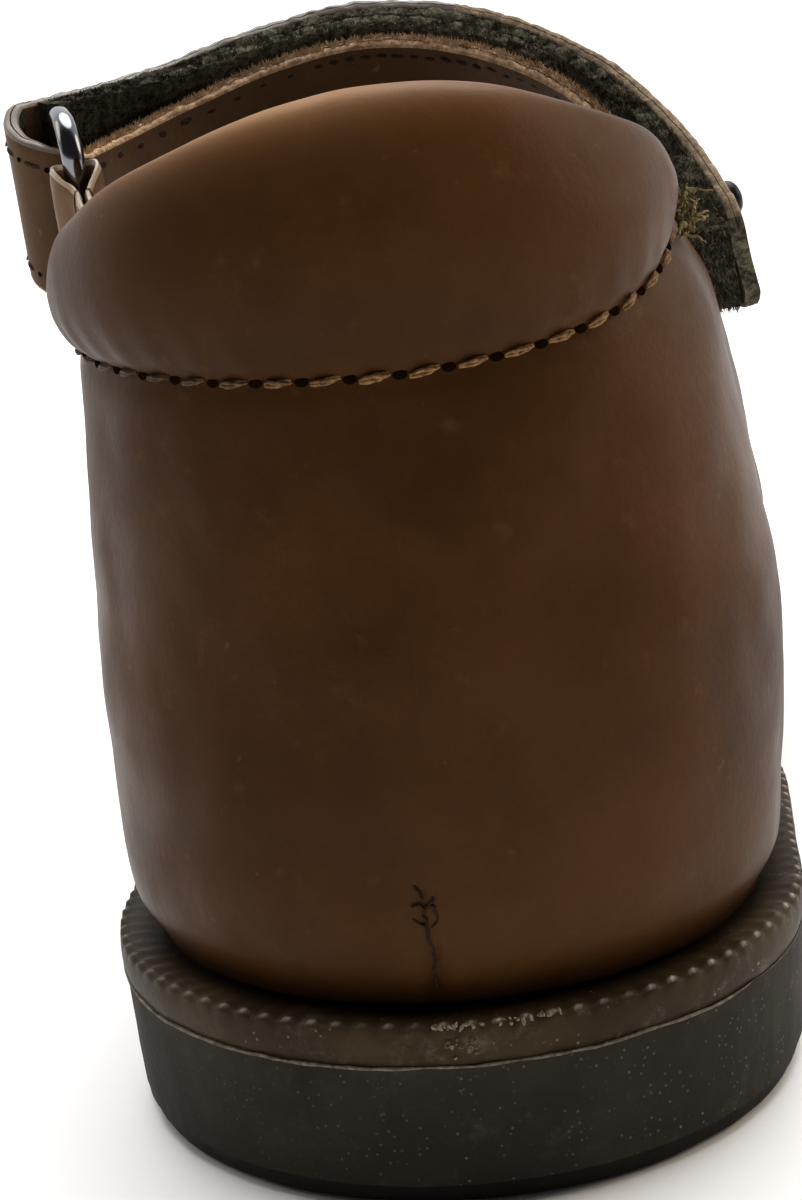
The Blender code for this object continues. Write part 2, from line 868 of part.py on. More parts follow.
def make_keeper(path, leather):
    """A leather loop round the ring's rear bar, pinched together and lower at the collar."""
    frame = ring_frame(path)
    bar = frame["top"] + (frame["back"] * RING_REACH + frame["down"] * KEEPER_DROP) * MM
    out = frame["across"]
    if out.x > 0:
        out = -out
    tight = RING_WIRE / 2 + GAP
    wide = tight + KEEPER_THICKNESS
    steps = 8
    legs = (KEEPER_LEG, KEEPER_PINCHED_FROM)
    stations = [(0.0, leg, KEEPER_PINCH) for leg in legs]
    stations += [(math.pi * i / steps, 0.0, 0.0) for i in range(steps + 1)]
    stations += [(math.pi, leg, KEEPER_PINCH) for leg in reversed(legs)]
    sections = []
    for angle, leg, pinch in stations:
        corners = []
        top = KEEPER_SLOPE * leg
        for radius, down in ((tight, top), (wide, top), (wide, KEEPER_WIDTH), (tight, KEEPER_WIDTH)):
            across = math.cos(angle) * (radius - pinch)
            behind = leg - math.sin(angle) * radius
            shift = out * across + frame["back"] * behind + frame["down"] * down
            corners.append(bar + shift * MM)
        sections.append(corners)
    return finish(loft_sections("ring_keeper", sections), leather)


def outer_face(path, distance, down):
    """A point on the outside of the return run, near the tab where it has no lift."""
    frame = strap_frame(path, distance)
    off = layer_heights()["outer"][1] + frame["out"] + tab_flare(distance) * down / STRAP_WIDTH
    return frame["point"] + (frame["outward"] * off + frame["width"] * down) * MM


def make_stud(path, metal):
    """A low round head on the outer face of the tab."""
    distance = RETURN_START + STUD_FROM_END
    run = outer_face(path, distance + 2.0, 0.0) - outer_face(path, distance - 2.0, 0.0)
    across = outer_face(path, distance, STRAP_WIDTH) - outer_face(path, distance, 0.0)
    normal = across.cross(run).normalized()
    face = outer_face(path, distance, STUD_FROM_EDGE)
    centre = face + normal * (GAP + STUD_HEIGHT / 2) * MM
    turn = normal.to_track_quat("Z", "Y").to_matrix().to_4x4()
    head = bmesh.new()
    bmesh.ops.create_cone(
        head,
        cap_ends=True,
        segments=20,
        radius1=STUD_RADIUS * MM,
        radius2=STUD_RADIUS * 0.7 * MM,
        depth=STUD_HEIGHT * MM,
        matrix=Matrix.Translation(centre) @ turn,
    )
    mesh = bpy.data.meshes.new("stud")
    head.to_mesh(mesh)
    head.free()
    obj = bpy.data.objects.new("stud", mesh)
    PARTS.objects.link(obj)
    return finish(obj, metal)


def main():
    for old in list(bpy.data.objects):
        bpy.data.objects.remove(old)
    bpy.context.scene.collection.children.link(PARTS)
    bpy.context.scene.collection.children.link(CUTTERS)
    brown = material("brown_leather", (0.105, 0.045, 0.018), 0.45)
    footbed = material("footbed_leather", (0.32, 0.2, 0.11), 0.6)
    dark = material("dark_rubber", (0.025, 0.021, 0.017), 0.6)
    olive = material("olive_rubber", (0.07, 0.055, 0.035), 0.35)
    pile = material("pile_tape", (0.022, 0.02, 0.014), 0.95)
    chrome = material("chrome", (0.75, 0.75, 0.76), 0.12, 1.0)
    gunmetal = material("dark_metal", (0.05, 0.05, 0.06), 0.3, 1.0)

    make_outsole(dark)
    make_welt(olive)
    make_insole(footbed)
    make_upper(brown)
    make_collar(brown)
    path = strap_path()
    make_ankle_strap(path, brown)
    make_loop_tape(path, pile)
    make_hook_tape(path, pile)
    make_ring(path, chrome)
    make_keeper(path, brown)
    make_stud(path, gunmetal)


PARTS = bpy.data.collections.new("sandal")
CUTTERS = bpy.data.collections.new("cutters")
main()
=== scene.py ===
"""Looks of a child's right sandal: fine shapes, materials, light and camera.

Sizes are millimetres and become metres where a mesh is made. "along" runs from the back of
the heel to the toe, "rise" from the top of the sole upwards, and +X is the outer side of
the foot. "girth" runs round the heel from the back seam, positive on the outer side.
"""
import math
import random

import bmesh
import bpy
import numpy as np
from mathutils import Matrix, Vector, noise
from mathutils.bvhtree import BVHTree

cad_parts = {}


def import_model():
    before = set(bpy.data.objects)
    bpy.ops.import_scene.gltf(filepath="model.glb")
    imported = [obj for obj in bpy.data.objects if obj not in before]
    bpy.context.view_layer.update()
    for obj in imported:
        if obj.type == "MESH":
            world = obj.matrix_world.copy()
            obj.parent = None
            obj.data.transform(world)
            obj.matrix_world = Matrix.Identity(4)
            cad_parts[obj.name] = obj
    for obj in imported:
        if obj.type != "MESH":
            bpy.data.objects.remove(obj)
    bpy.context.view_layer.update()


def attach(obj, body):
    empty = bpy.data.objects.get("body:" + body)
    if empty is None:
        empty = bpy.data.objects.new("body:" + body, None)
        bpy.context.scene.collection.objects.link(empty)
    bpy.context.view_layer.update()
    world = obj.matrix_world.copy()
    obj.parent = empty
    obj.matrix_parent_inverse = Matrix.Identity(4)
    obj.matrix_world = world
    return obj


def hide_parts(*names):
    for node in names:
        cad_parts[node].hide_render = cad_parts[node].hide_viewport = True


MM = 0.001
OUTER = 1
INNER = -1

# Sizes shared with the CAD model
LENGTH = 160.0
HEEL_RADIUS = 27.5
TOE_RADIUS = 36.0
WALL = 2.0
GAP = 0.3
STRAP_WIDTH = 13.4
STRAP_THICKNESS = 1.3
LOOP_THICKNESS = 1.1
HOOK_THICKNESS = 1.0
LAYER_GAP = 0.3
RING_WIRE = 1.9
CENTRE_SHIFT = 2.6
INSOLE_THICKNESS = 2.6
RIM_BELOW_COLLAR_TOP = 2.3
RETURN_START = 13.0
LOOP_START = 19.0
TAPE_MARGIN = 0.3
TAPE_END_MARGIN = 3.0
TAB_CORNER = 3.0
TAB_LOW_CORNER = 4.5
TAB_FLARE = 1.1
TAB_FLARE_LENGTH = 9.0
RING_LENGTH = 18.3
RING_REACH = 7.4
RING_CORNER = 3.0
RING_TOP_ABOVE_STRAP = 3.6
RING_BACK = (0.3, -0.95, 0.0)
KEEPER_WIDTH = 8.0
KEEPER_THICKNESS = 0.8
KEEPER_LEG = 5.2
KEEPER_PINCHED_FROM = 2.8
KEEPER_DROP = 3.2
KEEPER_PINCH = 1.1
STUD_RADIUS = 1.5
STUD_HEIGHT = 1.2
STUD_FROM_END = 4.2
STUD_FROM_EDGE = 2.1
GROOVE_WIDTH = 3.0
GROOVE_DEPTH = 1.8
GROOVE_MARGIN = 7.0
HEEL_GROOVES = (12.0, 21.5, 31.0, 40.5)
FOREFOOT_GROOVES = (90.0, 99.5, 109.0, 118.5, 128.0, 137.5, 147.0)

# Sizes of the fine shapes alone
DARK_TAB_EDGE = 0.9
WORN_EDGE_FROM = 44.0
RING_CORNER_STEPS = 12
KEEPER_SLOPE = 0.42
KEEPER_SEWN = 0.13

# How the footbed's outline differs from the sole's
INSOLE_BACK = 6.3
INSOLE_SHORTER = 10.3
INSOLE_TOE_EASE = 2.4
INSOLE_TOE_EASE_FROM = 139.0
INSOLE_TOE_EASE_LENGTH = 8.0

# Where the quarter ends and the forefoot band begins
WAIST = 78.0

# The seam between the strap's two plies, seen on its raw edges: depth through it and groove
PLIES = ((0.45, 0.0), (0.5, 0.14), (0.55, 0.0))

# Sewing and ribs
STITCH_PITCH = 3.4
STITCH_LENGTH = 2.15
STITCH_RADIUS = 0.29
STITCH_SLANT = 6.0
STITCHES_LOWER = 0.15
STRAP_SEWING_PITCH = 2.6
STRAP_SEWING_FROM_TOP = 1.9
STRAP_SEWING_FROM_LOW = 1.6
STRAP_SEWING_FROM_END = 3.0
STRAP_SEWING_PAST_RING = 9.0
STRAP_STITCH_LENGTH = 1.4
STRAP_STITCH_RADIUS = 0.22
FOOT_SIDE_MARKS_START = 22.0
FOOT_SIDE_MARKS_FROM_TOP = 1.25
DENSE_MARKS = (34.0, 54.0)
DENSE_MARKS_PITCH = 0.55 * STRAP_SEWING_PITCH
EDGE_SEWING_INSET = 2.2
EDGE_SEWING_PITCH = 2.4
EDGE_SEWING_START = 79.0
FRAYED_WISPS = 34
FRAYED_ENDS = 4
RIB_PITCH = 1.9
RIB_HEIGHT = 0.42
WELT_STEPS = (150, 320, 190)
OUTSOLE_STEPS = (90, 190, 110)
INSOLE_STEPS = (40, 80, 44)

# Floor and lights, in metres and degrees
FLOOR_HALF = 6.0
SKY_STRENGTH = 4.0
SKY_SPREAD = 60.0
SKY_TILT = -22.0
SIDE_LIGHT_SIZE = 0.3
SIDE_LIGHT_AHEAD = 0.1
SIDE_LIGHT_HEIGHT = 0.3
LIT_POINT = (0.0, -0.03, 0.05)

# Camera, fitted to the photograph
CAMERA_EYE = (17.24, -242.74, 89.72)
CAMERA_AZIMUTH = 5.143
CAMERA_ELEVATION = 15.055
CAMERA_ROLL = -5.514
CAMERA_LENS = 75.81
SENSOR_LONG_SIDE = 36.0


def table(columns, *rows):
    """Rows with named columns."""
    names = columns.split()
    return [dict(zip(names, row)) for row in rows]


SOLE = table(
    "along axis half parting deck",
    (0.0, 0.0, 27.5, 11.4, 14.6),
    (28.0, 0.0, 27.5, 11.4, 14.6),
    (46.0, 0.5, 27.5, 11.3, 14.5),
    (64.0, 0.9, 26.2, 10.3, 13.5),
    (82.0, 0.5, 27.6, 8.8, 11.9),
    (100.0, -1.0, 30.8, 7.7, 10.7),
    (118.0, -2.2, 33.2, 7.4, 10.4),
    (134.0, -3.4, 33.4, 8.4, 11.4),
    (148.0, -4.8, 31.6, 10.3, 13.3),
    (160.0, -6.0, 30.0, 12.6, 15.6),
)
BASE = table(
    "along height",
    (0.0, 0.0),
    (46.0, 0.0),
    (55.0, 1.6),
    (66.0, 2.8),
    (78.0, 1.4),
    (88.0, 0.0),
    (124.0, 0.0),
    (136.0, 1.0),
    (148.0, 3.2),
    (160.0, 6.6),
)
UPPER = table(
    "rise back front nose tuck lean",
    (-2.0, 3.6, 156.5, 32.5, 3.5, 0.0),
    (0.0, 3.6, 156.5, 32.5, 3.5, 0.0),
    (4.0, 1.9, 158.5, 34.0, 1.8, 0.0),
    (9.0, 0.9, 158.0, 34.5, 1.4, 0.1),
    (15.0, 0.9, 153.0, 36.0, 1.0, 0.3),
    (20.0, 1.4, 144.5, 38.0, 0.9, 0.3),
    (25.0, 2.0, 133.0, 42.0, 1.1, 0.3),
    (30.0, 2.8, 120.0, 44.0, 1.55, 0.0),
    (35.0, 3.7, 106.0, 42.0, 1.95, -0.2),
    (40.0, 4.6, 94.0, 38.0, 2.6, -0.6),
    (46.0, 5.6, 84.0, 33.0, 3.3, -1.2),
    (52.0, 6.5, 77.0, 29.0, 5.2, -2.2),
    (58.0, 7.4, 72.0, 27.0, 6.7, -2.7),
    (64.0, 8.3, 69.0, 26.0, 7.5, -2.8),
    (71.0, 9.3, 67.0, 26.0, 8.2, -2.8),
)
EDGE = table(
    "along outer inner",
    (-6.0, 76.8, 76.8),
    (7.6, 76.8, 76.8),
    (8.6, 76.9, 75.4),
    (10.8, 76.3, 73.4),
    (12.6, 75.5, 72.3),
    (14.7, 74.5, 71.2),
    (17.0, 73.5, 70.0),
    (20.0, 72.4, 68.7),
    (25.0, 71.1, 67.4),
    (31.0, 69.4, 66.5),
    (36.0, 65.2, 65.2),
    (37.4, 63.6, 63.0),
    (39.4, 61.2, 55.6),
    (42.0, 58.2, 52.0),
    (46.0, 53.2, 48.2),
    (51.0, 46.8, 43.6),
    (57.0, 39.0, 38.0),
    (63.0, 32.0, 32.6),
    (70.0, 26.6, 27.8),
    (78.0, 24.4, 24.8),
    (86.0, 25.4, 25.4),
    (91.0, 29.6, 29.6),
    (95.0, 37.0, 37.0),
    (98.0, 47.0, 47.0),
    (99.5, 64.0, 64.0),
)
TOE_EDGE = table(
    "height along",
    (-10.0, 137.0),
    (8.0, 136.5),
    (16.0, 134.5),
    (24.0, 131.5),
    (32.0, 127.5),
    (39.5, 124.0),
    (45.0, 122.5),
    (64.0, 122.0),
)
COLLAR = table(
    "girth low plump",
    (-42.5, 62.2, 0.3),
    (-41.0, 61.6, 0.55),
    (-37.0, 61.2, 0.7),
    (-28.0, 60.8, 0.75),
    (-18.0, 60.4, 0.9),
    (-9.0, 60.1, 1.0),
    (0.0, 60.1, 1.0),
    (9.0, 60.6, 1.0),
    (18.0, 61.9, 0.9),
    (27.0, 64.3, 0.75),
    (32.0, 66.1, 0.7),
    (34.5, 67.2, 0.55),
    (36.0, 68.0, 0.3),
)
# Section of the pad, starting flush with the quarter at the stitch line
COLLAR_OUTSIDE = table(
    "step up off",
    (0.0, 0.0, -0.1),
    (1.0, 0.05, 0.75),
    (2.0, 0.15, 1.7),
    (3.0, 0.30, 2.55),
    (4.0, 0.48, 2.9),
    (5.0, 0.66, 2.8),
    (6.0, 0.86, 2.25),
    (7.0, 0.965, 1.2),
    (8.0, 1.0, -0.4),
    (9.0, 0.985, -2.0),
    (10.0, 0.92, -3.2),
    (11.0, 0.78, -3.9),
    (12.0, 0.60, -3.5),
)
STRAP = table(
    "x along height tilt lift out",
    (18.6, 33.0, 55.6, 40.0, 0.0, 5.6),
    (18.9, 38.5, 60.0, 40.0, 0.0, 4.0),
    (18.7, 44.5, 64.6, 40.0, 0.0, 2.2),
    (17.4, 51.0, 69.4, 40.0, 0.0, 0.3),
    (12.4, 57.3, 74.4, 38.0, 0.0, 0.0),
    (5.0, 61.0, 77.8, 36.0, 0.5, 0.0),
    (-3.5, 62.0, 79.2, 33.0, 0.9, 0.0),
    (-11.5, 60.8, 78.2, 26.0, 1.3, 0.1),
    (-18.5, 57.4, 76.0, 17.0, 2.1, 0.4),
    (-23.6, 52.4, 74.2, 11.0, 3.3, 1.1),
    (-26.4, 47.0, 73.2, 8.0, 4.1, 1.9),
)
# Outer wall of the outsole from the ground to the parting, then of the welt to its ledge.
# Where "up" is 1 the row lies at the upper height, "rib" is how strongly the ribs show and
# "shade" how much painted shade darkens the row, most in the gap under the upper
OUTSOLE_WALL = table(
    "up above inset",
    (0.0, 0.0, 2.0),
    (0.0, 0.12, 1.75),
    (0.0, 0.45, 1.3),
    (0.0, 1.1, 1.02),
    (0.0, 1.75, 0.86),
    (0.0, 1.9, 0.7),
    (0.18, 1.2, 0.62),
    (0.35, 1.0, 0.54),
    (0.55, 0.6, 0.44),
    (0.75, 0.3, 0.34),
    (0.92, 0.0, 0.26),
    (1.0, -0.1, 0.24),
    (1.0, 0.0, 0.4),
    (1.0, 0.0, 2.2),
)
WELT_WALL = table(
    "up above inset rib shade",
    (0.0, 0.03, 2.4, 0.0, 0.3),
    (0.0, 0.03, 0.5, 0.0, 0.3),
    (0.0, 0.12, 0.22, 0.0, 0.3),
    (0.2, 0.1, 0.08, 0.0, 0.1),
    (0.4, 0.0, 0.0, 0.0, 0.0),
    (0.58, 0.0, 0.0, 0.0, 0.0),
    (0.74, 0.0, 0.06, 0.05, 0.05),
    (0.86, -0.05, 0.14, 0.28, 0.1),
    (0.94, -0.05, 0.26, 0.65, 0.15),
    (1.0, -0.06, 0.46, 1.0, 0.1),
    (1.0, 0.0, 0.74, 0.95, 0.1),
    (1.0, 0.0, 1.1, 0.45, 0.0),
    (1.0, -0.02, 1.5, 0.2, 0.0),
    (1.0, -0.06, 1.95, 0.12, 0.08),
    (1.0, -0.12, 2.45, 0.08, 0.25),
    (1.0, -0.2, 3.0, 0.05, 0.5),
    (1.0, -0.3, 3.8, 0.0, 1.0),
    (1.0, -0.3, 6.0, 0.0, 1.0),
)
# The ring from which a wall takes its outward direction, and the one that sets the ribs' pitch
DIRECTION_RING = 4
RIB_RING = 11
# How many of the outsole's lowest rings, which face down, are darkened with painted shade
SHADED_LOW_RINGS = 5
# The glints are pale glossy blobs standing for glints on the beads: a painted highlight
WELT_CRUMBS = table(
    "name material count girth spread up up_spread off size",
    ("welt_glints", "lip", 54, 4.0, 4.8, 0.97, 0.035, -0.2, 0.19),
    ("welt_crumbs", "crumb", 26, 1.2, 1.3, 0.5, 0.12, 0.02, 0.16),
)
# Fibres of the return run's pile on its top, its foot side and the end towards the heel
PILE_FIBRES = table(
    "name where count length width material seed",
    ("pile_top_dark", "top", 5200, 0.9, 0.06, "pile", 1),
    ("pile_top_pale", "top", 4200, 0.8, 0.06, "fleck", 2),
    ("pile_side_dark", "side", 6000, 0.8, 0.06, "pile", 3),
    ("pile_side_pale", "side", 4000, 0.7, 0.06, "fleck", 4),
    ("pile_end_dark", "end", 900, 1.0, 0.07, "pile", 7),
    ("pile_end_pale", "end", 500, 0.9, 0.07, "fleck", 8),
)
# Fibres standing on the top edges of the inner run's layers
EDGE_FIBRES = table(
    "name layer start count length width material seed slot",
    ("loop_fibres", "loop", LOOP_START, 3000, 0.8, 0.05, "pile", 5, "touch_tape"),
    ("raw_edge_fibres", "inner", 14.0, 3400, 0.7, 0.07, "fuzz", 6, "strap_leather"),
)
# Short dark strokes of the dart's stitches above the heel seam
DART = table(
    "girth rise end_girth end_rise width",
    (-0.4, 1.6, -0.3, 5.0, 0.2),
    (-0.3, 5.0, -0.6, 7.2, 0.2),
    (-0.6, 7.2, -1.05, 7.35, 0.16),
    (-1.05, 7.35, -1.5, 7.8, 0.14),
    (-0.6, 7.2, -0.8, 8.1, 0.14),
    (-0.8, 8.1, -0.45, 8.75, 0.14),
    (-0.45, 8.75, 0.1, 8.7, 0.13),
    (0.1, 8.7, 0.2, 7.5, 0.13),
    (0.2, 7.5, -0.2, 7.0, 0.12),
    (-1.55, 8.7, -1.0, 8.9, 0.13),
    (-1.0, 8.9, -0.6, 8.4, 0.12),
    (-1.3, 10.3, -0.95, 9.9, 0.15),
    (-0.95, 9.9, -0.7, 9.2, 0.17),
    (-0.35, 8.8, -0.05, 9.4, 0.12),
)
# Soft troughs and, with a negative depth, ridges in the upper
CREASES = table(
    "girth rise end_girth end_rise width depth",
    (-0.4, 0.0, -0.3, 6.0, 0.7, 0.45),
    (-0.4, 6.0, -0.9, 10.0, 0.8, 0.25),
    (-2.0, 2.0, -1.8, 8.0, 1.3, -0.15),
    (1.2, 2.0, 1.0, 8.0, 1.3, -0.15),
    (-16.0, 3.0, -7.0, 8.0, 2.4, 0.22),
    (9.0, 6.0, 20.0, 3.0, 2.4, 0.2),
    (-30.0, 30.0, -14.0, 36.0, 4.5, 0.25),
    (12.0, 38.0, 30.0, 30.0, 5.0, 0.25),
    (-62.0, 10.0, -44.0, 30.0, 3.0, 0.4),
    (46.0, 32.0, 64.0, 9.0, 3.0, 0.4),
    (-58.0, 20.0, -50.0, 34.0, 2.2, 0.3),
    (52.0, 34.0, 60.0, 18.0, 2.2, 0.3),
)
# Creases across the forefoot band where the foot bends
FLEX_CREASES = table(
    "along width depth",
    (106.0, 1.3, 0.35),
    (110.5, 1.1, 0.5),
    (115.5, 1.4, 0.4),
)


# Every material by its short name
MATERIALS = {}
# Each row gives a short name and what leather(), suede(), rubber() or plain() takes
LEATHERS = (
    ("leather", "brown_leather", (0.036, 0.0137, 0.0034), (0.067, 0.0267, 0.007), (0.107, 0.052, 0.02)),
    ("strap", "strap_leather", (0.06, 0.03, 0.013), (0.105, 0.06, 0.031), (0.17, 0.11, 0.065)),
    ("keeper", "keeper_leather", (0.1, 0.05, 0.02), (0.17, 0.088, 0.04), (0.24, 0.14, 0.07), 0.4, 0.1),
    ("keeper_edge", "keeper_edge", (0.3, 0.22, 0.15), (0.42, 0.33, 0.24), (0.55, 0.46, 0.36), 0.3, 0.5),
    ("worn_edge", "worn_edge", (0.12, 0.1, 0.078), (0.23, 0.195, 0.155), (0.45, 0.4, 0.34), 0.32, 0.3),
    ("footbed", "footbed_leather", (0.16, 0.09, 0.045), (0.24, 0.145, 0.078), (0.3, 0.19, 0.11), 0.6, 0.03),
    # Pale glossy blobs that stand for glints on the welt's beads: a painted highlight
    ("lip", "shiny_lip", (0.09, 0.07, 0.045), (0.2, 0.165, 0.11), (0.5, 0.46, 0.36), 0.3, 1.0),
)
SUEDES = (
    ("lining", "tan_lining", (0.12, 0.065, 0.03), (0.18, 0.1, 0.05), 500.0, 0.8),
    ("flesh", "flesh_side", (0.036, 0.019, 0.009), (0.085, 0.048, 0.023), 700.0),
    ("raw", "raw_edge", (0.15, 0.108, 0.07), (0.35, 0.265, 0.18), 1600.0),
    # The inner run's raw edge and its fibres: lighter copies of "raw", painted light against the outer
    # run's shade
    ("inner_edge", "inner_raw_edge", (0.27, 0.165, 0.09), (0.62, 0.43, 0.27), 1600.0),
    ("fuzz", "raw_fuzz", (0.5, 0.36, 0.24), (0.84, 0.66, 0.48), 1600.0),
    ("pile", "dark_pile", (0.035, 0.029, 0.018), (0.18, 0.16, 0.11), 1300.0, 0.95, 0.6),
    ("fleck", "pale_pile", (0.08, 0.075, 0.05), (0.52, 0.485, 0.365), 1300.0, 0.9, 0.3),
    ("fluff", "lumpy_pile", (0.022, 0.019, 0.011), (0.15, 0.135, 0.09), 1500.0, 0.95, 0.7),
    ("knot", "olive_thread", (0.06, 0.04, 0.012), (0.26, 0.19, 0.07), 1500.0, 0.7),
    ("brown_thread", "brown_thread", (0.02, 0.01, 0.005), (0.07, 0.04, 0.02), 2000.0, 0.7),
    ("dirt", "packed_dirt", (0.01, 0.006, 0.0035), (0.04, 0.021, 0.01), 2500.0),
    ("flash", "pale_rubber_edge", (0.08, 0.068, 0.048), (0.2, 0.175, 0.13), 1500.0, 0.6),
    ("crumb", "crumbs", (0.08, 0.06, 0.035), (0.26, 0.21, 0.13), 1500.0),
)
RUBBERS = (
    (
        "outsole", "dark_rubber",
        (0.0195, 0.016, 0.011), (0.033, 0.0275, 0.0195), (0.2, 0.165, 0.12), 0.7, 0.46,
    ),
    ("welt", "olive_rubber", (0.025, 0.0155, 0.007), (0.052, 0.034, 0.0145), (0.5, 0.46, 0.38), 0.5, 0.54),
)
PLAINS = (
    # Near black: painted shade inside the needle holes
    ("hole", "needle_hole", (0.006, 0.003, 0.0013), 1.0, 0.0, 0.0),
    ("chrome", "chrome", (0.16, 0.165, 0.18), 0.14, 1.0),
    ("dark_metal", "dark_metal", (0.008, 0.008, 0.01), 0.3, 0.0, 0.08),
    ("floor", "pale_floor", (0.93, 0.93, 0.93), 0.9, 0.0, 0.05),
)


def tangents(xs, ys):
    """Slopes at the rows: the harmonic mean of both neighbours, or none at a turning point."""
    steps = np.diff(ys) / np.diff(xs)
    before = steps[:-1]
    after = steps[1:]
    total = before + after
    total[total == 0] = 1.0
    inside = np.where(before * after > 0, 2 * before * after / total, 0.0)
    return np.concatenate(([0.0], inside, [0.0]))


def hermite(t, start, start_slope, end, end_slope):
    """A cubic from start to end with those slopes, as t goes from 0 to 1."""
    lower = (2 * t**3 - 3 * t**2 + 1) * start + (t**3 - 2 * t**2 + t) * start_slope
    return lower + (3 * t**2 - 2 * t**3) * end + (t**3 - t**2) * end_slope


def read(rows, key, name, at):
    """Smooth values of a column that never overshoot its rows."""
    xs = np.array([row[key] for row in rows])
    ys = np.array([row[name] for row in rows])
    at = np.clip(np.asarray(at, dtype=float), xs[0], xs[-1])
    i = np.clip(np.searchsorted(xs, at, side="right") - 1, 0, len(xs) - 2)
    slopes = tangents(xs, ys)
    step = xs[i + 1] - xs[i]
    return hermite((at - xs[i]) / step, ys[i], slopes[i] * step, ys[i + 1], slopes[i + 1] * step)


def solve(low, high, value, rounds=40):
    """Where a rising function of an array crosses zero, by halving."""
    for _ in range(rounds):
        middle = (low + high) / 2
        above = value(middle) > 0
        high = np.where(above, middle, high)
        low = np.where(above, low, middle)
    return (low + high) / 2


def place(x, along, height):
    """Points in millimetres, with the origin under the middle of the sole."""
    x, along, height = np.broadcast_arrays(x, along, height)
    return np.stack((x + CENTRE_SHIFT, along - LENGTH / 2, height), axis=-1).astype(float)


def unit(vectors):
    return vectors / np.maximum(np.linalg.norm(vectors, axis=-1, keepdims=True), 1e-9)


def smooth_step(t):
    t = np.clip(t, 0.0, 1.0)
    return t * t * (3 - 2 * t)


def lumps(points, size, seed):
    """Smooth noise from -1 to 1 at points in millimetres, with lumps of about that size."""
    start = Vector((seed, seed, seed))
    flat = points.reshape(-1, 3)
    values = [noise.noise(Vector(p) / size + start) for p in flat]
    return np.array(values).reshape(points.shape[:-1])


def sole_half(a):
    return read(SOLE, "along", "half", a)


def sole_axis(a):
    return read(SOLE, "along", "axis", a)


def parting(a):
    return read(SOLE, "along", "parting", a)


def deck(a):
    return read(SOLE, "along", "deck", a)


def base(a):
    return read(BASE, "along", "height", a)


def last(name, rise):
    """A column of the last's sections at a height above the sole."""
    return read(UPPER, "rise", name, rise)


def heel_radius(rise):
    return HEEL_RADIUS - last("tuck", rise)


def last_half(a, rise):
    return sole_half(a) - last("tuck", rise)


def beside_axis(offset, a, rise):
    """Points beside the last's middle."""
    return place(sole_axis(a) + last("lean", rise) + offset, a, deck(a) + rise)


# Meshes

def grid_faces(rows, columns, close_rows=False, close_columns=False):
    """Quads of a grid whose vertices are stored row by row."""
    row_count = rows if close_rows else rows - 1
    column_count = columns if close_columns else columns - 1
    r, c = np.meshgrid(np.arange(row_count), np.arange(column_count), indexing="ij")
    r = r.ravel()
    c = c.ravel()
    next_r = (r + 1) % rows
    next_c = (c + 1) % columns
    corners = (r * columns + c, r * columns + next_c, next_r * columns + next_c, next_r * columns + c)
    return np.stack(corners, axis=1)


def rod_faces(rows, columns):
    """Faces of a closed section carried along its rows, with a face at both ends."""
    faces = grid_faces(rows, columns, close_columns=True).tolist()
    faces.append(list(range(columns)))
    faces.append(list(range((rows - 1) * columns, rows * columns)))
    return faces


def configured(item, **settings):
    for key, value in settings.items():
        setattr(item, key, value)
    return item


def add(name, data):
    """A new object in the scene."""
    obj = bpy.data.objects.new(name, data)
    bpy.context.scene.collection.objects.link(obj)
    return obj


def piece(name, points, faces, finishes, face_finishes=None, smooth_angle=60.0, weld=0.0):
    """A mesh object from points in millimetres, those nearer than the weld distance joined."""
    mesh = bpy.data.meshes.new(name)
    vertices = (np.asarray(points, dtype=float).reshape(-1, 3) * MM).tolist()
    mesh.from_pydata(vertices, [], [tuple(int(v) for v in face) for face in faces])
    for key in finishes:
        mesh.materials.append(MATERIALS[key])
    if face_finishes is not None:
        mesh.polygons.foreach_set("material_index", np.asarray(face_finishes, dtype=np.int32))
    tidy = bmesh.new()
    tidy.from_mesh(mesh)
    if weld > 0:
        bmesh.ops.remove_doubles(tidy, verts=tidy.verts, dist=weld * MM)
    bmesh.ops.recalc_face_normals(tidy, faces=tidy.faces)
    tidy.to_mesh(mesh)
    tidy.free()
    mesh.shade_smooth()
    mesh.set_sharp_from_angle(angle=math.radians(smooth_angle))
    return add(name, mesh)


def store(mesh, name, values):
    """Stores a number for each vertex: "shade" paints shade, "tip" paints a pale highlight."""
    layer = mesh.attributes.new(name, "FLOAT", "POINT")
    layer.data.foreach_set("value", np.asarray(values, dtype=np.float32).ravel())


def keep(obj, slot, *nodes):
    """The piece belongs to the sandal and stands for these CAD nodes; the slot is not used."""
    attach(obj, "root")
    if nodes:
        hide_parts(*nodes)
    return obj


def joined(parts):
    """One list of points and one of faces from several (points, faces) pairs."""
    points = []
    faces = []
    start = 0
    for part_points, part_faces in parts:
        part_points = np.asarray(part_points, dtype=float).reshape(-1, 3)
        points.append(part_points)
        faces += [tuple(int(v) + start for v in face) for face in part_faces]
        start += len(part_points)
    return np.concatenate(points), faces


def bundle(name, parts, finish, slot):
    """A piece of many small parts, given as (points, faces) pairs."""
    return keep(piece(name, *joined(parts), [finish]), slot)


def tube(points, radii, sides=10, closed=False):
    """Points and faces of a round rod along a path, with a flat face at each open end."""
    points = np.asarray(points, dtype=float)
    count = len(points)
    radii = np.broadcast_to(np.asarray(radii, dtype=float), (count,))
    if closed:
        forward = unit(np.roll(points, -1, axis=0) - np.roll(points, 1, axis=0))
    else:
        forward = unit(np.gradient(points, axis=0))
    reference = np.array((0.0, 0.0, 1.0))
    if abs(forward @ reference).max() > 0.95:
        reference = np.array((0.31, 0.95, 0.05))
    side = unit(np.cross(forward, reference))
    up = np.cross(side, forward)
    angles = np.arange(sides) * 2 * math.pi / sides
    cosine = np.cos(angles)[None, :, None]
    sine = np.sin(angles)[None, :, None]
    circle = cosine * side[:, None] + sine * up[:, None]
    ring_points = points[:, None] + circle * radii[:, None, None]
    faces = grid_faces(count, sides, True, True).tolist() if closed else rod_faces(count, sides)
    return ring_points.reshape(-1, 3), faces


# Material nodes

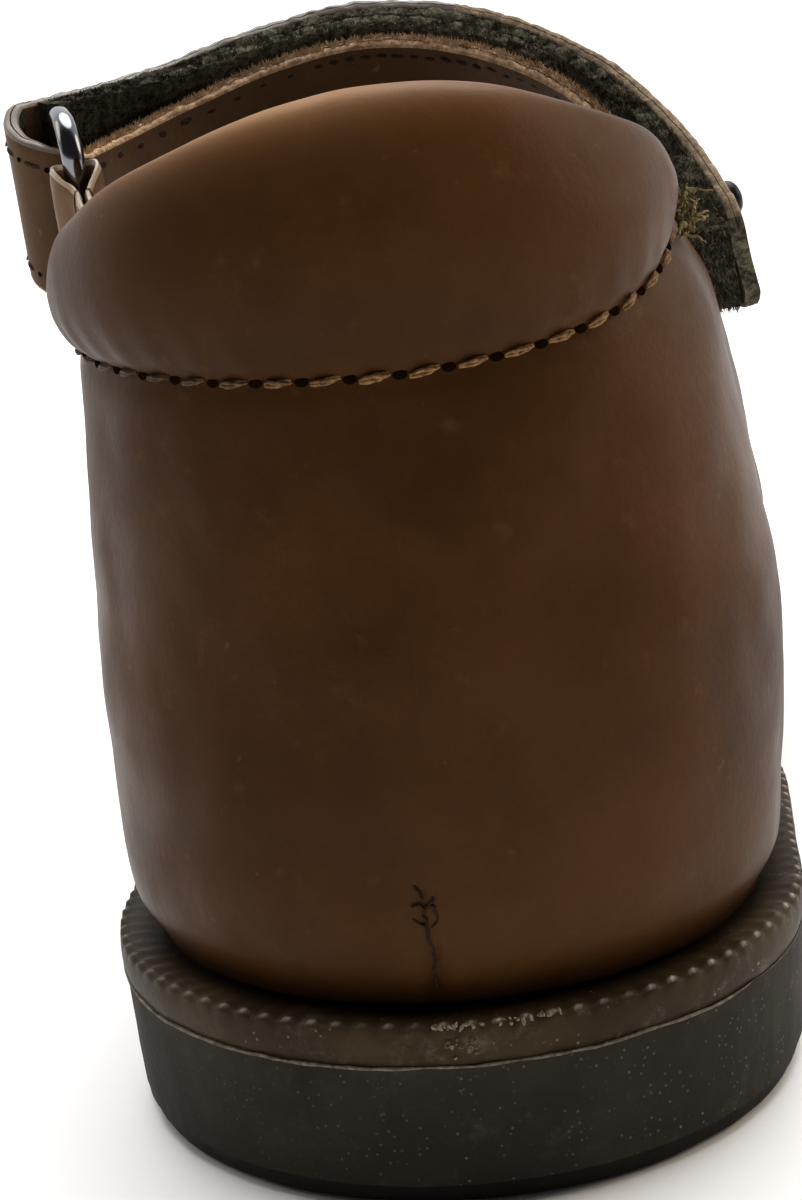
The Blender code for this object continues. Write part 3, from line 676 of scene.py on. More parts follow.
def fill(tree, item, inputs):
    """Sets a node's inputs: an input is a value, or a socket to link."""
    for key, value in inputs.items():
        if isinstance(value, bpy.types.NodeSocket):
            tree.links.new(value, item.inputs[key])
        else:
            item.inputs[key].default_value = value


def node(tree, kind, inputs, **settings):
    """A node with its inputs and settings."""
    made = configured(tree.nodes.new(kind), **settings)
    fill(tree, made, inputs)
    return made


def new_material(name):
    made = bpy.data.materials.new(name)
    made.use_nodes = True
    return made, made.node_tree, made.node_tree.nodes["Principled BSDF"]


def object_point(tree):
    """The shaded point in the object's own metres."""
    return node(tree, "ShaderNodeTexCoord", {}).outputs["Object"]


def across_foot(tree):
    """Distance to the outer side, in metres."""
    return node(tree, "ShaderNodeSeparateXYZ", {"Vector": object_point(tree)}).outputs["X"]


def spots(tree, scale, detail=4.0, rough=0.55):
    """Noise at a scale in lumps per metre."""
    inputs = {"Vector": object_point(tree), "Scale": scale, "Detail": detail, "Roughness": rough}
    return node(tree, "ShaderNodeTexNoise", inputs).outputs["Fac"]


def cells(tree, scale):
    """Distance to the nearest of scattered points."""
    inputs = {"Vector": object_point(tree), "Scale": scale}
    return node(tree, "ShaderNodeTexVoronoi", inputs).outputs["Distance"]


def fade(tree, value, low, high, start=0.0, end=1.0):
    """The value turned smoothly into start..end as it goes from low to high."""
    inputs = {"Value": value, "From Min": low, "From Max": high, "To Min": start, "To Max": end}
    made = node(tree, "ShaderNodeMapRange", inputs, interpolation_type="SMOOTHSTEP")
    return made.outputs["Result"]


def blend(tree, share, first, second):
    """A colour between two colours."""
    inputs = {0: share}
    for index, value in ((6, first), (7, second)):
        inputs[index] = value if isinstance(value, bpy.types.NodeSocket) else (*value, 1.0)
    return node(tree, "ShaderNodeMix", inputs, data_type="RGBA").outputs[2]


def times(tree, first, second):
    """The product of two numbers."""
    return node(tree, "ShaderNodeMath", {0: first, 1: second}, operation="MULTIPLY").outputs[0]


def stored(tree, name):
    """The number that the mesh stores under a name."""
    return node(tree, "ShaderNodeAttribute", {}, attribute_name=name).outputs["Fac"]


def scaled(colour, factor):
    return tuple(factor * value for value in colour)


def relief(tree, height, strength, distance):
    """The normal of a surface with a relief of that many millimetres."""
    inputs = {"Height": height, "Strength": strength, "Distance": distance * MM}
    return node(tree, "ShaderNodeBump", inputs).outputs["Normal"]


def leather(name, dark, mid, light, roughness=0.45, coat=0.0):
    """Smooth waxed leather: slow mottling, fine flecks and grain, painted shade and highlight."""
    made, tree, shader = new_material(name)
    slow = fade(tree, spots(tree, 38.0, 6.0, 0.62), 0.32, 0.72)
    quick = fade(tree, spots(tree, 420.0, 3.0, 0.6), 0.5, 0.85)
    speckle = fade(tree, spots(tree, 1500.0, 3.0, 0.75), 0.3, 0.8, 0.0, 0.2)
    pale = fade(tree, spots(tree, 640.0, 2.0, 0.6), 0.7, 0.8, 0.0, 0.5)
    colour = blend(tree, slow, dark, mid)
    colour = blend(tree, fade(tree, quick, 0.2, 1.0, 0.0, 0.36), colour, light)
    colour = blend(tree, speckle, colour, scaled(dark, 0.6))
    colour = blend(tree, pale, colour, light)
    # A stored "shade" darkens the colour: painted shade.
    colour = blend(tree, stored(tree, "shade"), colour, scaled(dark, 0.25))
    shine = spots(tree, 90.0, 4.0, 0.6)
    fill(tree, shader, {
        # A stored "tip" lightens the colour: a painted highlight.
        "Base Color": blend(tree, stored(tree, "tip"), colour, scaled(light, 2.5)),
        "Roughness": fade(tree, shine, 0.3, 0.7, roughness - 0.06, roughness + 0.08),
        "Specular IOR Level": 0.07,
        "Specular Tint": (1.0, 0.86, 0.72, 1.0),
        "Coat Weight": coat,
        "Coat Roughness": 0.34,
        "Normal": relief(tree, spots(tree, 1300.0, 4.0, 0.7), 0.45, 0.08),
    })
    return made


def suede(name, dark, light, scale=900.0, roughness=0.9, shade_towards_ring=0.0):
    """Rough leather, pile or raw edge, with painted shade towards the ring at the given share."""
    made, tree, shader = new_material(name)
    grain = spots(tree, scale, 4.0, 0.7)
    colour = blend(tree, fade(tree, grain, 0.35, 0.68), dark, light)
    if shade_towards_ring > 0:
        # Painted shade in the hollow between the strap's runs near the ring.
        share = fade(tree, across_foot(tree), -22.0 * MM, -10.0 * MM, shade_towards_ring, 0.0)
        colour = blend(tree, share, colour, scaled(dark, 0.3))
    fill(tree, shader, {
        "Base Color": colour,
        "Roughness": roughness,
        "Specular IOR Level": 0.15,
        "Normal": relief(tree, grain, 0.6, 0.3),
    })
    return made


def rubber(name, dark, mid, fleck, roughness, fleck_share):
    """Rubber with slow stains, powder, two sizes of dust flecks, pores, painted shade and glints."""
    made, tree, shader = new_material(name)
    stain = fade(tree, spots(tree, 60.0, 6.0, 0.65), 0.35, 0.7)
    dusty = fade(tree, across_foot(tree), -24.0 * MM, 6.0 * MM, 0.12, 1.0)
    powder = fade(tree, spots(tree, 230.0, 6.0, 0.75), 0.52, 0.8, 0.0, 0.2)
    colour = blend(tree, times(tree, powder, dusty), blend(tree, stain, dark, mid), fleck)
    for scale, size, share, strength in (
        (1700.0, 0.2, fleck_share, 0.45),
        (800.0, 0.1, fleck_share + 0.06, 0.9),
    ):
        dust = fade(tree, cells(tree, scale), size * 0.4, size * 1.3, strength, 0.0)
        patches = fade(tree, spots(tree, scale / 4.0, 3.0, 0.7), share, share + 0.1)
        colour = blend(tree, times(tree, times(tree, dust, patches), dusty), colour, fleck)
    # A stored "shade" darkens the colour: painted shade.
    colour = blend(tree, stored(tree, "shade"), colour, scaled(dark, 0.3))
    fill(tree, shader, {
        # A stored "tip" paints a highlight in the fleck colour.
        "Base Color": blend(tree, stored(tree, "tip"), colour, fleck),
        "Roughness": roughness,
        "Specular IOR Level": 0.08,
        "Normal": relief(tree, spots(tree, 1100.0, 3.0, 0.6), 0.35, 0.12),
    })
    return made


def plain(name, colour, roughness, metallic=0.0, specular=0.5):
    made, tree, shader = new_material(name)
    fill(tree, shader, {
        "Base Color": (*colour, 1.0),
        "Roughness": roughness,
        "Metallic": metallic,
        "Specular IOR Level": specular,
    })
    return made


def thread(name):
    """Waxed golden thread, painted darker towards the inner side of the foot as shade."""
    made, tree, shader = new_material(name)
    speckle = fade(tree, spots(tree, 2200.0, 4.0, 0.7), 0.35, 0.68)
    shaded_colour = blend(tree, speckle, (0.03, 0.014, 0.005), (0.09, 0.05, 0.02))
    gold = blend(tree, speckle, (0.08, 0.037, 0.013), (0.27, 0.142, 0.052))
    # Painted shade: the thread darkens towards the inner side of the foot.
    side = fade(tree, across_foot(tree), -13.0 * MM, 4.0 * MM)
    colour = blend(tree, side, shaded_colour, gold)
    fill(tree, shader, {"Base Color": colour, "Roughness": 0.7, "Specular IOR Level": 0.2})
    return made


def make_materials():
    """Makes every material and keeps it under its short name."""
    for make, finishes in ((leather, LEATHERS), (suede, SUEDES), (rubber, RUBBERS), (plain, PLAINS)):
        for key, *finish in finishes:
            MATERIALS[key] = make(*finish)
    MATERIALS["thread"] = thread("gold_thread")


# Upper

def heel_place(girth, rise):
    """Points on the outer face of the last, round the heel and along its sides."""
    radius = heel_radius(rise)
    angle = np.minimum(np.abs(girth) / radius, math.pi / 2)
    straight = np.maximum(np.abs(girth) - radius * math.pi / 2, 0.0)
    a = last("back", rise) + radius * (1 - np.cos(angle)) + straight
    return beside_axis(np.sign(girth) * last_half(a, rise) * np.sin(angle), a, rise)


def heel_normal(girth, rise):
    """Outward direction of the last there."""
    step = 0.5
    across = heel_place(girth + step, rise) - heel_place(girth - step, rise)
    up = heel_place(girth, rise + step) - heel_place(girth, rise - step)
    return unit(np.cross(across, up))


def edge_height(side, a):
    return read(EDGE, "along", "outer" if side == OUTER else "inner", a)


def quarter_place(side, turn, rise):
    """Turn from 0 to 1 is round the heel, from 1 to 2 along the side to the waist."""
    radius = heel_radius(rise)
    straight = WAIST - last("back", rise) - radius
    girth = np.minimum(turn, 1.0) * radius * math.pi / 2 + np.maximum(turn - 1.0, 0.0) * straight
    return heel_place(side * girth, rise)


def quarter_patch(side, levels):
    """Grid from the heel seam to the waist, from the sole to the upper's edge."""
    turns = np.concatenate((np.linspace(0, 1, 64), np.linspace(1, 2, 52)[1:]))

    def below_edge(rise):
        point = quarter_place(side, turns, rise)
        return point[:, 2] - edge_height(side, point[:, 1] + LENGTH / 2)

    top = solve(np.full(len(turns), GAP), np.full(len(turns), 70.0), below_edge)
    rise = GAP + (top[:, None] - GAP) * levels[None, :]
    return quarter_place(side, turns[:, None], rise), top[-1]


def crown(a):
    """Height above the sole of the last's ridge."""
    rises = np.linspace(15.0, 71.0, 400)
    fronts = last("front", rises)
    return np.interp(a, fronts[::-1], rises[::-1])


def band_place(side, a, rise):
    """A point of the last's side at a distance along, in front of the waist."""
    nose = last("nose", rise)
    bend = np.clip((a - last("front", rise) + nose) / nose, 0.0, 1.0)
    return beside_axis(side * last_half(a, rise) * np.sqrt(np.maximum(1 - bend**2, 0.0)), a, rise)


def band_edges(side, shares):
    """Distances along of the band's rear edge and toe edge at shares of the ridge's height."""
    def past_rear_edge(a):
        return edge_height(side, a) - deck(a) - crown(a) * shares

    def past_toe_edge(a):
        return a - read(TOE_EDGE, "height", "along", deck(a) + crown(a) * shares)

    count = len(shares)
    rear = solve(np.full(count, WAIST), np.full(count, 99.5), past_rear_edge)
    front = solve(np.full(count, 108.0), np.full(count, 142.0), past_toe_edge)
    return rear, front


def band_patch(side, levels, waist_top):
    """Grid from the quarter and its own rear edge to the toe edge, up to the ridge."""
    waist_shares = (GAP + (waist_top - GAP) * levels) / crown(WAIST)
    over = np.sin(np.linspace(0, 1, 62)[1:] * math.pi / 2)
    shares = np.concatenate((waist_shares, waist_shares[-1] + (1 - waist_shares[-1]) * over))
    shares[-1] = 1.0
    rear, front = band_edges(side, shares)
    rear[: len(levels)] = WAIST
    steps = np.linspace(0, 1, 54)
    a = rear[None, :] + (front - rear)[None, :] * steps[:, None]
    rise = crown(a) * shares[None, :]
    points = band_place(side, a, rise)
    points[:, -1, 0] = (sole_axis(a) + last("lean", rise))[:, -1] + CENTRE_SHIFT
    return points


def surface_place(points):
    """Girth, rise and distance along of points on the last."""
    a = points[:, 1] + LENGTH / 2
    rise = points[:, 2] - deck(a)
    radius = heel_radius(rise)
    x = points[:, 0] - CENTRE_SHIFT - sole_axis(a) - last("lean", rise)
    past_back = a - last("back", rise)
    across = np.abs(x) / np.maximum(last_half(a, rise), 1.0)
    round_heel = radius * np.arctan2(across, np.maximum(1 - past_back / radius, 0.0))
    return np.sign(x) * (round_heel + np.maximum(past_back - radius, 0.0)), rise, a


def crease_depth(girth, rise, a):
    """How far the surface sinks at each point."""
    depth = np.zeros(len(girth))
    for row in CREASES:
        start = np.array((row["girth"], row["rise"]))
        run = np.array((row["end_girth"], row["end_rise"])) - start
        length = np.hypot(*run)
        where = np.stack((girth, rise), axis=1) - start
        t = np.clip(where @ run / length**2, 0.0, 1.0)
        away = np.linalg.norm(where - t[:, None] * run, axis=1)
        ends = smooth_step(4 * t + 0.25) * smooth_step(4 * (1 - t) + 0.25)
        depth += row["depth"] * ends * np.exp(-((away / row["width"]) ** 2))
    for row in FLEX_CREASES:
        wander = row["along"] + 1.6 * np.sin(rise / 7.0) + 0.8 * np.sin(girth / 5.0)
        low = smooth_step((rise - 6.0) / 12.0)
        depth += row["depth"] * low * np.exp(-(((a - wander) / row["width"]) ** 2))
    return depth


def collar_low(girth):
    """Rise of the stitch line."""
    return read(COLLAR, "girth", "low", girth) - deck(0.0)


def make_upper():
    """Quarter and forefoot band as one leather wall with a lining."""
    levels = np.linspace(0, 1, 70)
    parts = []
    for side in (OUTER, INNER):
        quarter, waist_top = quarter_patch(side, levels)
        band = band_patch(side, levels, float(waist_top))
        for patch in (quarter, band):
            parts.append((patch, grid_faces(*patch.shape[:2])))
    points, faces = joined(parts)
    obj = piece("upper_leather", points, faces, ["leather", "lining", "raw"], weld=0.02)
    mesh = obj.data
    count = len(mesh.vertices)
    flat = np.empty(count * 3, dtype=np.float32)
    mesh.vertices.foreach_get("co", flat)
    points = flat.reshape(-1, 3).astype(float) / MM
    normals = np.array([tuple(v.vector) for v in mesh.vertex_normals])
    girth, rise, a = surface_place(points)
    if np.mean(normals[:, 0] * np.sign(girth)) < 0:
        mesh.flip_normals()
        normals = -normals
    sink = crease_depth(girth, rise, a)
    stitched = np.exp(-(((rise - collar_low(girth)) / 1.1) ** 2))
    stitched *= (girth > COLLAR[0]["girth"] - 1) & (girth < COLLAR[-1]["girth"] + 1)
    sink += 0.35 * stitched
    sink -= 0.22 * lumps(points, 11.0, 3.0) + 0.1 * lumps(points, 4.0, 8.0)
    points -= normals * sink[:, None]
    mesh.vertices.foreach_set("co", (points * MM).astype(np.float32).ravel())
    # Painted shade near the sole, where the upper tucks in above the welt.
    low_edge = np.exp(-((np.maximum(rise - 0.6, 0.0) / 2.2) ** 2))
    store(mesh, "shade", np.maximum(0.75 * low_edge, 0.45 * np.exp(-rise / 3.5)))
    wall = obj.modifiers.new("wall", "SOLIDIFY")
    configured(wall, thickness=WALL * MM, offset=-1.0, use_even_offset=True)
    configured(wall, material_offset=1, material_offset_rim=2)
    soft = obj.modifiers.new("soft edge", "BEVEL")
    configured(soft, width=0.45 * MM, segments=3, limit_method="ANGLE", angle_limit=math.radians(50.0))
    return keep(obj, "upper_leather", "upper")


def edge_lines(side):
    """Lines just inside the upper's open edges: round the side opening, and at the toe."""
    a = np.arange(EDGE_SEWING_START, 95.0, 0.5)
    edge = np.stack((a, edge_height(side, a) - deck(a)), axis=1)
    step = unit(np.gradient(edge, axis=0))
    a = edge[:, 0] + step[:, 1] * EDGE_SEWING_INSET
    low = band_place(side, a, edge[:, 1] - step[:, 0] * EDGE_SEWING_INSET)
    shares = np.linspace(float(edge[-1, 1] / crown(edge[-1, 0])), 1.0, 90)
    rear, _ = band_edges(side, shares)
    rear = rear + EDGE_SEWING_INSET
    high = band_place(side, rear, crown(rear) * shares)
    shares = np.linspace(0.12, 1.0, 120)
    _, front = band_edges(side, shares)
    front = front - EDGE_SEWING_INSET
    return np.concatenate((low[a < rear[0]], high)), band_place(side, front, crown(front) * shares)


def make_edge_sewing(mesh):
    """Fine stitches along the upper's open edges."""
    tree = BVHTree.FromPolygons(
        [v.co / MM for v in mesh.vertices], [tuple(p.vertices) for p in mesh.polygons]
    )
    steps = 7
    spread = np.linspace(-0.36, 0.36, steps)[:, None]
    arch = np.sin(np.linspace(0.0, math.pi, steps))
    threads = []
    holes = []
    for line in (*edge_lines(OUTER), *edge_lines(INNER)):
        lengths = np.concatenate(([0.0], np.cumsum(np.linalg.norm(np.diff(line, axis=0), axis=1))))
        at = np.arange(0.0, lengths[-1], EDGE_SEWING_PITCH / 2)
        line = np.stack([np.interp(at, lengths, line[:, k]) for k in range(3)], axis=1)
        found = [tree.find_nearest(Vector(point)) for point in line]
        points = np.array([tuple(hit[0]) for hit in found])
        for k in range(1, len(points) - 1, 2):
            normal = np.array(found[k][1])
            run = points[k + 1] - points[k - 1]
            ends = points[k] + spread * run
            threads.append(tube(ends + (0.22 * arch - 0.05)[:, None] * normal, 0.1 + 0.12 * arch, 6))
            normal = np.array(found[k + 1][1])
            holes.append(pit(points[k + 1] - normal * 0.05, normal, unit(run), 0.55, 0.35))
    bundle("edge_thread", threads, "brown_thread", "upper_leather")
    bundle("edge_needle_holes", holes, "hole", "upper_leather")


# Collar

def rim_rise(girth):
    """How high the upper's own edge is there."""
    def below_edge(rise):
        point = heel_place(girth, rise)
        a = point[:, 1] + LENGTH / 2
        return point[:, 2] - np.where(girth >= 0, edge_height(OUTER, a), edge_height(INNER, a))

    return solve(np.full(len(girth), 30.0), np.full(len(girth), 70.0), below_edge)


def make_collar():
    """The padded roll over the quarter's rim, gathered a little at every stitch."""
    first = COLLAR[0]["girth"]
    final = COLLAR[-1]["girth"]
    girth = np.linspace(first, final, 300)
    steps = np.linspace(0.0, 12.0, 49)
    up = read(COLLAR_OUTSIDE, "step", "up", steps)
    off = read(COLLAR_OUTSIDE, "step", "off", steps)
    low = collar_low(girth)
    kernel = np.hanning(27) / np.hanning(27).sum()
    rim = np.convolve(np.pad(rim_rise(girth), 13, mode="edge"), kernel, mode="valid")
    top = rim + RIM_BELOW_COLLAR_TOP
    plump = read(COLLAR, "girth", "plump", girth)
    rise = low[:, None] + (top - low)[:, None] * up[None, :]
    out = np.where(off[None, :] > 0, off[None, :] * plump[:, None], off[None, :])
    pull = np.cos(math.pi * girth / STITCH_PITCH) ** 2
    left = smooth_step((-girth + 6.0) / 12.0)
    near = np.exp(-(((rise - low[:, None]) / 3.2) ** 2)) * (off[None, :] > 0)
    out = out - (0.1 + 0.03 * left)[:, None] * pull[:, None] * near * (up[None, :] > 0.01)
    hidden_rise = np.stack((rise[:, -1], low + 3.0, low), axis=1)
    hidden_out = np.array((-1.2, -0.9, -0.9))[None, :] * np.ones((len(girth), 1))
    rise = np.concatenate((rise, hidden_rise), axis=1)
    out = np.concatenate((out, hidden_out), axis=1)
    where = np.broadcast_to(girth[:, None], rise.shape)
    points = heel_place(where, rise)
    slow = lumps(points, 10.0, 5.0) * 0.28 + lumps(points, 4.0, 9.0) * 0.05
    out = out + slow * (out > 0)
    points = points + heel_normal(where, rise) * out[..., None]
    obj = piece("collar_pad", points, rod_faces(*rise.shape), ["leather"], smooth_angle=75.0)
    # Painted highlight along the roll's top, strongest near the back seam, stored as "tip".
    crest_highlight = np.concatenate((np.exp(-(((steps - 7.4) / 1.1) ** 2)), np.zeros(3)))
    bright = 0.48 * smooth_step((24.0 - girth) / 20.0) + 0.5 * np.exp(-(((girth + 2.0) / 7.0) ** 2))
    store(obj.data, "tip", crest_highlight[None, :] * bright[:, None])
    # Painted shade on the underside of the roll near the stitch line, fading towards the sides.
    under = np.concatenate((0.3 * np.exp(-(((steps - 1.5) / 1.3) ** 2)), np.zeros(3)))
    store(obj.data, "shade", under[None, :] * np.exp(-((girth / 22.0) ** 2))[:, None])
    keep(obj, "upper_leather", "collar")


def twisted_thread(start, end, normal, radius):
    """A short stitch of three strands that dives into the leather at both ends."""
    count = 13
    t = np.linspace(0, 1, count)
    arch = np.sin(t * math.pi)
    side = unit(np.cross(normal, end - start))
    strands = []
    for strand in range(3):
        turn = 2 * math.pi * strand / 3 + 2.4 * t
        across = np.cos(turn)[:, None] * side + np.sin(turn)[:, None] * normal * 0.45
        spread = radius * 0.62 * (0.45 + 0.55 * arch)
        height = arch * radius * 0.9 - radius * 0.5
        path = start + (end - start) * t[:, None] + normal * height[:, None]
        path += across * spread[:, None]
        path += (lumps(path, 0.35, 3.0) * radius * 0.3)[:, None] * side
        strands.append(tube(path, radius * (0.32 + 0.24 * np.sqrt(np.maximum(arch, 0.0))), 6))
    return joined(strands)


def pit(centre, normal, along, length, width):
    """A small dark dimple, drawn as a flat lens just above the leather."""
    sides = 10
    side = unit(np.cross(normal, along))
    angles = np.arange(sides) * 2 * math.pi / sides
    ring_points = centre + np.cos(angles)[:, None] * along * length / 2
    ring_points += np.sin(angles)[:, None] * side * width / 2
    points = np.concatenate((ring_points, [centre + normal * 0.1, centre - normal * 0.3]))
    faces = []
    for i in range(sides):
        after = (i + 1) % sides
        faces += [(i, after, sides), (after, i, sides + 1)]
    return points, faces


def stitch_place(girth):
    """A point of the stitch line, just below the collar's edge."""
    return heel_place(girth, float(collar_low(girth)) - STITCHES_LOWER)


def make_collar_stitches():
    """Gold thread and needle holes along the collar's low edge."""
    draw = random.Random(4)
    threads = []
    holes = []
    girth = COLLAR[0]["girth"] + 2.0
    while girth < COLLAR[-1]["girth"] - 1.0:
        centre = stitch_place(girth)
        normal = heel_normal(girth, float(collar_low(girth)) - STITCHES_LOWER)
        along = unit(stitch_place(girth + 1.0) - centre)
        up = unit(np.cross(normal, along))
        up = up if up[2] > 0 else -up
        slant = math.radians(STITCH_SLANT + draw.uniform(-5, 5))
        half = STITCH_LENGTH / 2 * draw.uniform(0.9, 1.08)
        reach = (along * math.cos(slant) + up * math.sin(slant)) * half
        seat = centre + normal * 0.12
        radius = STITCH_RADIUS * draw.uniform(0.9, 1.1) * (0.8 if girth < -12.0 else 1.0)
        threads.append(twisted_thread(seat - reach, seat + reach, normal, radius))
        hole = stitch_place(girth + STITCH_PITCH / 2)
        holes.append(pit(hole + normal * 0.02, normal, along, 1.05, 0.7))
        girth += STITCH_PITCH
    bundle("collar_thread", threads, "thread", "upper_leather")
    bundle("collar_needle_holes", holes, "hole", "upper_leather")


def any_way(draw, reach=1.0):
    """A random vector in a cube."""
    return np.array([draw.uniform(-reach, reach) for _ in range(3)])


def wisp(draw, start, direction, length, radius):
    """A curly end of thread."""
    steps = 8
    points = [start]
    heading = np.array(direction)
    for _ in range(steps):
        heading = unit(heading + any_way(draw, 0.6))
        points.append(points[-1] + heading * length / steps)
    return tube(np.array(points), radius * np.linspace(1.0, 0.5, steps + 1), 6)


def make_frayed_end():
    """The knot and loose threads where the stitching ends on the outer side."""
    draw = random.Random(9)
    girth = COLLAR[-1]["girth"] - 2.5
    normal = heel_normal(girth, 50.0)
    wisps = []
    for _ in range(FRAYED_WISPS):
        rise = float(collar_low(girth)) + draw.uniform(-1.5, 0.8)
        start = heel_place(girth + draw.uniform(-0.8, 0.6), rise) + normal * draw.uniform(0.4, 2.2)
        direction = normal * draw.uniform(-0.6, 1.0) + any_way(draw)
        wisps.append(wisp(draw, start, direction, draw.uniform(0.8, 2.2), draw.uniform(0.1, 0.2)))
    for k in range(FRAYED_ENDS):
        start = heel_place(girth + 1.0, float(collar_low(girth)) - 0.4 - 0.5 * k)
        wisps.append(wisp(draw, start + normal * (0.9 - 0.15 * k), (0.5, 0.3, -1.0), 2.4, 0.15))
    bundle("frayed_thread", wisps, "knot", "upper_leather")


def make_dart():
    """The dart's dark seam and knot of stitches, lying on the leather."""
    strokes = []
    for row in DART:
        ends = []
        for girth, rise in ((row["girth"], row["rise"]), (row["end_girth"], row["end_rise"])):
            ends.append(heel_place(girth, rise) - heel_normal(girth, rise) * 0.05)
        steps = np.linspace(0, 1, 9)[:, None]
        path = ends[0] + (ends[1] - ends[0]) * steps
        middle = np.sin(steps[:, 0] * math.pi)
        path[:, 0] += 0.22 * lumps(path, 0.9, 4.0) * middle
        width = row["width"] * (0.45 + 0.5 * np.abs(lumps(path, 0.5, 8.0)) + 0.25 * middle)
        strokes.append(tube(path, width, 6))
    bundle("heel_dart", strokes, "dirt", "upper_leather")


# Strap and tapes

def curve_value(rows, name, position):
    """Cubic through the rows, for paths that may turn back."""
    ys = np.array([row[name] for row in rows])
    ys = np.concatenate(([2 * ys[0] - ys[1]], ys, [2 * ys[-1] - ys[-2]]))
    i = np.minimum(position.astype(int), len(rows) - 2)
    before, start, end, after = ys[i], ys[i + 1], ys[i + 2], ys[i + 3]
    return hermite(position - i, start, (end - before) / 2, end, (after - start) / 2)


def strap_path():
    """The strap's foot side at its top edge, from the outer end to the ring."""
    position = np.linspace(0, len(STRAP) - 1, 801)
    values = {name: curve_value(STRAP, name, position) for name in STRAP[0]}
    points = place(values["x"], values["along"], values["height"])
    steps = np.linalg.norm(np.diff(points, axis=0), axis=1)
    values["points"] = points
    values["lengths"] = np.concatenate(([0.0], np.cumsum(steps)))
    return values


def strap_point(path, distance):
    columns = [np.interp(distance, path["lengths"], path["points"][:, k]) for k in range(3)]
    return np.stack(columns, axis=-1)


def strap_frames(path, distance):
    """Frames of the strap at distances from its outer end."""
    total = path["lengths"][-1]
    distance = np.clip(np.asarray(distance, dtype=float), 0.0, total)
    reach = 0.7
    ahead = strap_point(path, np.minimum(distance + reach, total))
    behind = strap_point(path, np.maximum(distance - reach, 0.0))
    forward = unit(ahead - behind)
    tilt = np.radians(np.interp(distance, path["lengths"], path["tilt"]))
    width = np.stack((np.zeros_like(tilt), np.sin(tilt), -np.cos(tilt)), axis=-1)
    width = unit(width - forward * np.sum(width * forward, axis=-1, keepdims=True))
    return {
        "point": strap_point(path, distance),
        "width": width,
        "outward": unit(np.cross(width, forward)),
        "forward": forward,
        "lift": np.interp(distance, path["lengths"], path["lift"]),
        "out": np.interp(distance, path["lengths"], path["out"]),
    }


def strap_frame(path, distance):
    """The strap's frame at one distance."""
    return {key: value[0] for key, value in strap_frames(path, [distance]).items()}


def layer_heights():
    """Heights of the strap's layers above its foot side."""
    loop = STRAP_THICKNESS + LAYER_GAP
    hook = loop + LOOP_THICKNESS + LAYER_GAP
    outer = hook + HOOK_THICKNESS + LAYER_GAP
    return {
        "inner": (0.0, STRAP_THICKNESS),
        "loop": (loop, loop + LOOP_THICKNESS),
        "hook": (hook, hook + HOOK_THICKNESS),
        "outer": (outer, outer + STRAP_THICKNESS),
    }


def strip_profile(thickness, corner=0.35, face_steps=12, corner_steps=3):
    """Closed outline of a rounded strip: depth through it, distance across and which side.

    The sides are 0 and 2 for the two faces, 1 for the low edge and 3 for the top edge.
    """
    def bend(through, across, start, side):
        for k in range(1, corner_steps + 1):
            angle = math.radians(start + 90.0 * k / corner_steps)
            rows.append((through + corner * math.sin(angle), across + corner * math.cos(angle), side))

    span = STRAP_WIDTH - 2 * corner
    steps = range(face_steps + 1)
    rows = [(0.0, corner + span * k / face_steps, 0) for k in steps]
    bend(corner, STRAP_WIDTH - corner, -90.0, 1)
    rows += [(thickness * ply, STRAP_WIDTH - sink, 1) for ply, sink in PLIES]
    bend(thickness - corner, STRAP_WIDTH - corner, 0.0, 1)
    rows += [(thickness, STRAP_WIDTH - corner - span * k / face_steps, 2) for k in steps]
    bend(thickness - corner, corner, 90.0, 3)
    rows += [(thickness * (1 - ply), sink, 3) for ply, sink in PLIES]
    bend(corner, corner, 180.0, 3)
    return np.array(rows)


def tab_trim(distance, corner):
    """How much the rounded end takes off an edge of the tab."""
    ahead = np.clip(np.asarray(distance) - RETURN_START, 0.0, corner)
    return corner - np.sqrt(corner**2 - (corner - ahead) ** 2)


def tab_flare(distance):
    """How far the tab's low edge stands out from the foot."""
    return TAB_FLARE * (1 - smooth_step((np.asarray(distance) - RETURN_START) / TAB_FLARE_LENGTH))


def run_points(path, distance, through, across, margin, follow):
    """Points of one run of the strap, station by profile point."""
    frames = strap_frames(path, distance)
    share = across[None, :] / STRAP_WIDTH
    top = np.full(len(distance), margin)
    low = np.full(len(distance), margin)
    lift = np.zeros(len(distance))
    off = through + np.zeros_like(share)
    if follow:
        top = top + tab_trim(distance, TAB_CORNER)
        low = low + tab_trim(distance, TAB_LOW_CORNER)
        lift = frames["lift"]
        off = off + frames["out"][:, None] + tab_flare(distance)[:, None] * share
    down = top[:, None] + share * (STRAP_WIDTH - top - low)[:, None] - lift[:, None]
    return (
        frames["point"][:, None]
        + frames["outward"][:, None] * off[..., None]
        + frames["width"][:, None] * down[..., None]
    )


